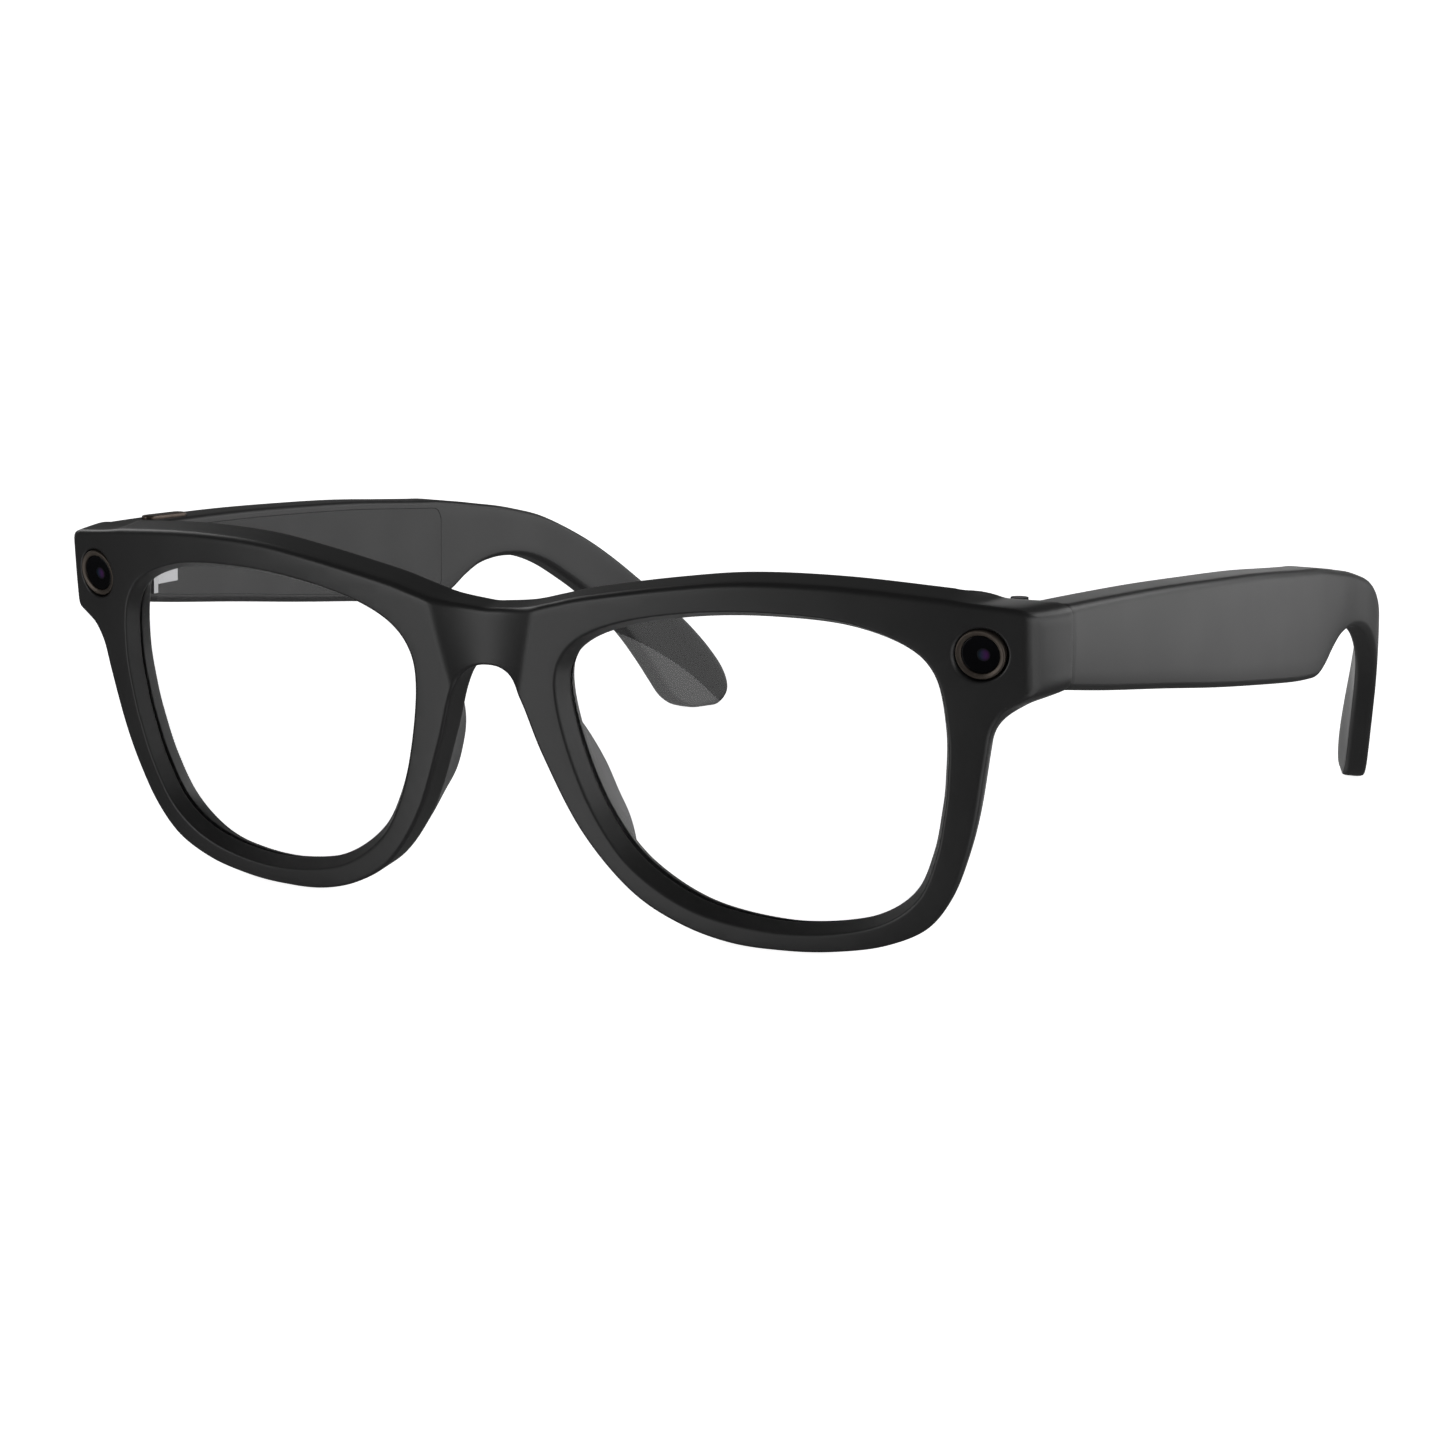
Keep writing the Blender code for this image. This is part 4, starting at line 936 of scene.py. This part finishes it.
def slab_rows(side, y0, y1, inset, x_low, x_high, steps=40, round_ends=2.0, z_low=None, z_high=None, lean=0.0):
    rows = []
    for i in range(steps + 1):
        y = y0 + (y1 - y0) * (0.5 - 0.5 * math.cos(math.pi * i / steps))
        pinch = 0.0
        for end in (y - y0, y1 - y):
            if end < round_ends:
                pinch = max(pinch, round_ends - math.sqrt(max(0.0, round_ends**2 - (round_ends - end) ** 2)))
        pinch = min(pinch, round_ends * 0.8)
        low = (edge_z(y, False) + inset if z_low is None else z_low) + pinch
        high = (edge_z(y, True) - inset if z_high is None else z_high) - pinch
        xa, xb = inner_x(y) + x_low, inner_x(y) + x_high
        rows.append([place(side * xa, y, low), place(side * xb, y, low), place(side * xb, y, high), place(side * xa, y, high)])
    return rows


def extrude(loop, low, high, where):
    bm = bmesh.new()
    a = add_loop(bm, [where(x, y, low) for x, y in loop])
    b = add_loop(bm, [where(x, y, high) for x, y in loop])
    bridge(bm, a, b)
    bm.faces.new(a)
    bm.faces.new(b)
    return bm


button_x = -(inner_x(BUTTON_Y) + 2.7)
button_top = edge_z(BUTTON_Y, True)
button_slope = (edge_z(BUTTON_Y + 5, True) - edge_z(BUTTON_Y - 5, True)) / 10


def on_top(x, y, t):
    return place(button_x + x, BUTTON_Y + y, button_top + button_slope * y + t)


def on_inner(y, z, t):
    return place(inner_x(SWITCH_Y) + t, SWITCH_Y + y, SWITCH_Z + z)


for side, name in ((1, "left"), (-1, "right")):
    rows = [[place(*p) for p in row] for row in shell_rows(side)]
    shell = piece(f"temple_body_{name}", loft(rows), NYLON, None)
    cutters = [helper(f"pocket_{name}", loft(slab_rows(side, POCKET_START, POCKET_END, WALL, -2.0, 5.9 - WALL, steps=48)))]
    x0, x1 = sorted((side * 71.2, side * 72.4))
    mouth = [(0.5 * (x0 + x1) + p, 87.0 + q) for q, p in stadium(6.0, 1.2, 8)]
    cutters.append(helper(f"mouth_{name}", extrude(mouth, 20.0, 28.5, place)))
    if side < 0:
        slot = [(w, l) for l, w in stadium(BUTTON_LENGTH + 0.3, BUTTON_WIDTH + 0.3, 12)]
        cutters.append(helper("button_slot", extrude(slot, -1.7, 3.0, on_top)))
    carve(shell, cutters)
    finish_piece(shell, f"temple_{name}", [f"temple_shell_{name}"], sharp=40.0)

    cover = piece(f"temple_lid_{name}", loft(slab_rows(side, POCKET_START + 0.06, POCKET_END - 0.06, WALL + 0.06, 0.02, WALL, steps=48)), COVER, None)
    if side > 0:
        slot = stadium(4.6 + SWITCH_TRAVEL + 0.4, 2.2 + 0.4, 12)
        carve(cover, [helper("switch_slot", extrude(slot, -3.0, 3.0, on_inner))])
    finish_piece(cover, f"temple_{name}", [f"temple_cover_{name}"], sharp=40.0)

# capture button: a bronze bar with rounded edges and a shallow dish
rows = []
bm = bmesh.new()
made = []
for inset, t in [(0.0, -1.5), (0.0, 0.1)] + bend((0.0, 0.22), (0.02, BUTTON_PROUD), (0.32, BUTTON_PROUD), 5) + [(0.55, BUTTON_PROUD - 0.03), (0.8, BUTTON_PROUD - 0.07)]:
    loop = [(w, l) for l, w in stadium(BUTTON_LENGTH - 2 * inset, BUTTON_WIDTH - 2 * inset, 16)]
    made.append(add_loop(bm, [on_top(x, y, t) for x, y in loop]))
for a, b in zip(made, made[1:]):
    bridge(bm, a, b)
bm.faces.new(made[0])
bm.faces.new(made[-1])
piece("capture_key", bm, BUTTON, "capture_button", ["capture_button"], sharp=50.0)

# power slider: a small ridged key
bm = bmesh.new()
made = []
for inset, t in [(0.0, 1.6), (0.0, -0.25)] + bend((0.0, -0.35), (0.0, -0.55), (0.2, -0.55), 4):
    loop = [(l - SWITCH_TRAVEL / 2, w) for l, w in stadium(4.6 - 2 * inset, 2.2 - 2 * inset, 14)]
    made.append(add_loop(bm, [on_inner(y, z, t) for y, z in loop]))
for a, b in zip(made, made[1:]):
    bridge(bm, a, b)
bm.faces.new(made[0])
bm.faces.new(made[-1])
key = piece("power_slider", bm, PLASTIC, None)
ridges = []
for k in (-1, 0, 1):
    loop = [(l, w) for w, l in stadium(1.5, 0.34, 6)]
    ridges.append(helper(f"ridge_{k + 1}", extrude([(y - SWITCH_TRAVEL / 2 + 0.75 * k, z) for y, z in loop], -0.9, -0.42, on_inner)))
carve(key, ridges)
finish_piece(key, "power_switch", ["power_switch"], sharp=40.0)

# the CAD's own metal parts get broken edges
for node_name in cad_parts:
    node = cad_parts[node_name]
    if node_name.startswith("hinge_"):
        soften(node, 0.1, 2, 40.0)

# ---- stage -----------------------------------------------------------------------------------------------------
low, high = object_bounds()
floor_mesh = bpy.data.meshes.new("floor")
bm = bmesh.new()
rings = [[bm.verts.new((r * math.cos(2 * math.pi * k / 48), r * math.sin(2 * math.pi * k / 48), -0.00005)) for k in range(48)] for r in (0.4, 2.0, 40.0)]
bm.faces.new(rings[0])
for a, b in zip(rings, rings[1:]):
    bridge(bm, a, b)
bmesh.ops.recalc_face_normals(bm, faces=bm.faces[:])
if bm.faces[0].normal.z < 0:
    bmesh.ops.reverse_faces(bm, faces=bm.faces[:])
bm.to_mesh(floor_mesh)
bm.free()
floor = bpy.data.objects.new("floor", floor_mesh)
bpy.context.scene.collection.objects.link(floor)
pale = bpy.data.materials.new("pale_floor")
pale.use_nodes = True
shader = pale.node_tree.nodes["Principled BSDF"]
shader.inputs["Base Color"].default_value = (0.86, 0.86, 0.86, 1.0)
shader.inputs["Roughness"].default_value = 0.9
shader.inputs["Specular IOR Level"].default_value = 0.0
shader.inputs["Emission Color"].default_value = (1.0, 1.0, 1.0, 1.0)
shader.inputs["Emission Strength"].default_value = 0.93
path = pale.node_tree.nodes.new("ShaderNodeLightPath")
unseen = pale.node_tree.nodes.new("ShaderNodeMath")
unseen.operation = "LESS_THAN"
unseen.inputs[1].default_value = 0.5
glow = pale.node_tree.nodes.new("ShaderNodeMath")
glow.operation = "MULTIPLY"
glow.inputs[1].default_value = 0.93
pale.node_tree.links.new(path.outputs["Glossy Depth"], unseen.inputs[0])
pale.node_tree.links.new(unseen.outputs[0], glow.inputs[0])
pale.node_tree.links.new(glow.outputs[0], shader.inputs["Emission Strength"])
floor_mesh.materials.append(pale)
floor.visible_glossy = False
floor.visible_shadow = False
floor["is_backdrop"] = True

world = bpy.data.worlds.new("studio")
bpy.context.scene.world = world
world.use_nodes = True
nodes, links = world.node_tree.nodes, world.node_tree.links
nodes.clear()
out = nodes.new("ShaderNodeOutputWorld")
mix = nodes.new("ShaderNodeMixShader")
seen = nodes.new("ShaderNodeBackground")
seen.inputs["Color"].default_value = (1.0, 1.0, 1.0, 1.0)
seen.inputs["Strength"].default_value = 1.1
room = nodes.new("ShaderNodeBackground")
room.inputs["Color"].default_value = (1.0, 1.0, 1.0, 1.0)
room.inputs["Strength"].default_value = 0.10
rays = nodes.new("ShaderNodeLightPath")
either = nodes.new("ShaderNodeMath")
either.operation = "MAXIMUM"
links.new(rays.outputs["Is Camera Ray"], either.inputs[0])
links.new(rays.outputs["Is Transmission Ray"], either.inputs[1])
bounced = nodes.new("ShaderNodeMath")
bounced.operation = "ADD"
links.new(rays.outputs["Diffuse Depth"], bounced.inputs[0])
links.new(rays.outputs["Glossy Depth"], bounced.inputs[1])
direct = nodes.new("ShaderNodeMath")
direct.operation = "LESS_THAN"
direct.inputs[1].default_value = 0.5
links.new(bounced.outputs[0], direct.inputs[0])
white = nodes.new("ShaderNodeMath")
white.operation = "MULTIPLY"
links.new(either.outputs[0], white.inputs[0])
links.new(direct.outputs[0], white.inputs[1])
links.new(white.outputs[0], mix.inputs["Fac"])
links.new(room.outputs[0], mix.inputs[1])
links.new(seen.outputs[0], mix.inputs[2])
links.new(mix.outputs[0], out.inputs["Surface"])


def panel(azimuth, elevation, radiance, distance=1.2, size=0.62):
    """A round soft panel that faces the object. Azimuth 0 is the front and 90 the wearer's left; radiance is what it shows."""
    a, e = math.radians(azimuth), math.radians(elevation)
    aim = Vector((math.cos(e) * math.sin(a), -math.cos(e) * math.cos(a), math.sin(e)))
    data = bpy.data.lights.new(f"panel_{azimuth}_{elevation}", "AREA")
    data.shape = "DISK"
    data.size = size
    data.energy = radiance * math.pi * math.pi * (size / 2) ** 2
    obj = bpy.data.objects.new(data.name, data)
    bpy.context.scene.collection.objects.link(obj)
    obj.location = Vector((0.0, -0.02, 0.022)) + aim * distance
    obj.rotation_euler = aim.to_track_quat("Z", "Y").to_euler()
    obj.visible_camera = False
    obj.visible_transmission = False
    return obj


for azimuth, elevation, radiance in (
    (150, 30, 2.3), (120, 30, 1.8), (150, 0, 1.2), (120, 0, 2.0), (90, 0, 2.1), (90, -30, 1.2), (60, 0, 0.9), (60, -30, 0.7),
    (330, 0, 2.6), (330, -30, 1.65), (240, -30, 0.3), (250, 30, 2.2), (200, -4, 1.1),
):
    panel(azimuth, elevation, radiance)

# ---- camera ----------------------------------------------------------------------------------------------------
AZIMUTH, ELEVATION, CAMERA_ROLL = 0.4992842, 0.1761410, 0.0092951
back = Vector((math.sin(AZIMUTH) * math.cos(ELEVATION), -math.cos(AZIMUTH) * math.cos(ELEVATION), math.sin(ELEVATION)))
right = Vector((math.cos(AZIMUTH), math.sin(AZIMUTH), 0.0))
up = back.cross(right)
across = math.cos(CAMERA_ROLL) * right + math.sin(CAMERA_ROLL) * up
upward = -math.sin(CAMERA_ROLL) * right + math.cos(CAMERA_ROLL) * up
camera_data = bpy.data.cameras.new("camera")
camera_data.sensor_width = 36.0
camera_data.lens = 3896.40 / 1445 * 36.0
camera_data.clip_start, camera_data.clip_end = 0.01, 100.0
camera = bpy.data.objects.new("camera", camera_data)
bpy.context.scene.collection.objects.link(camera)
camera.matrix_world = Matrix((
    (across.x, upward.x, back.x, 0.25690),
    (across.y, upward.y, back.y, -0.49011),
    (across.z, upward.z, back.z, 0.11279),
    (0.0, 0.0, 0.0, 1.0),
))
bpy.context.scene.camera = camera
bpy.context.scene.view_settings.view_transform = "Standard"
bpy.context.scene.view_settings.look = "None"

low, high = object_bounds()
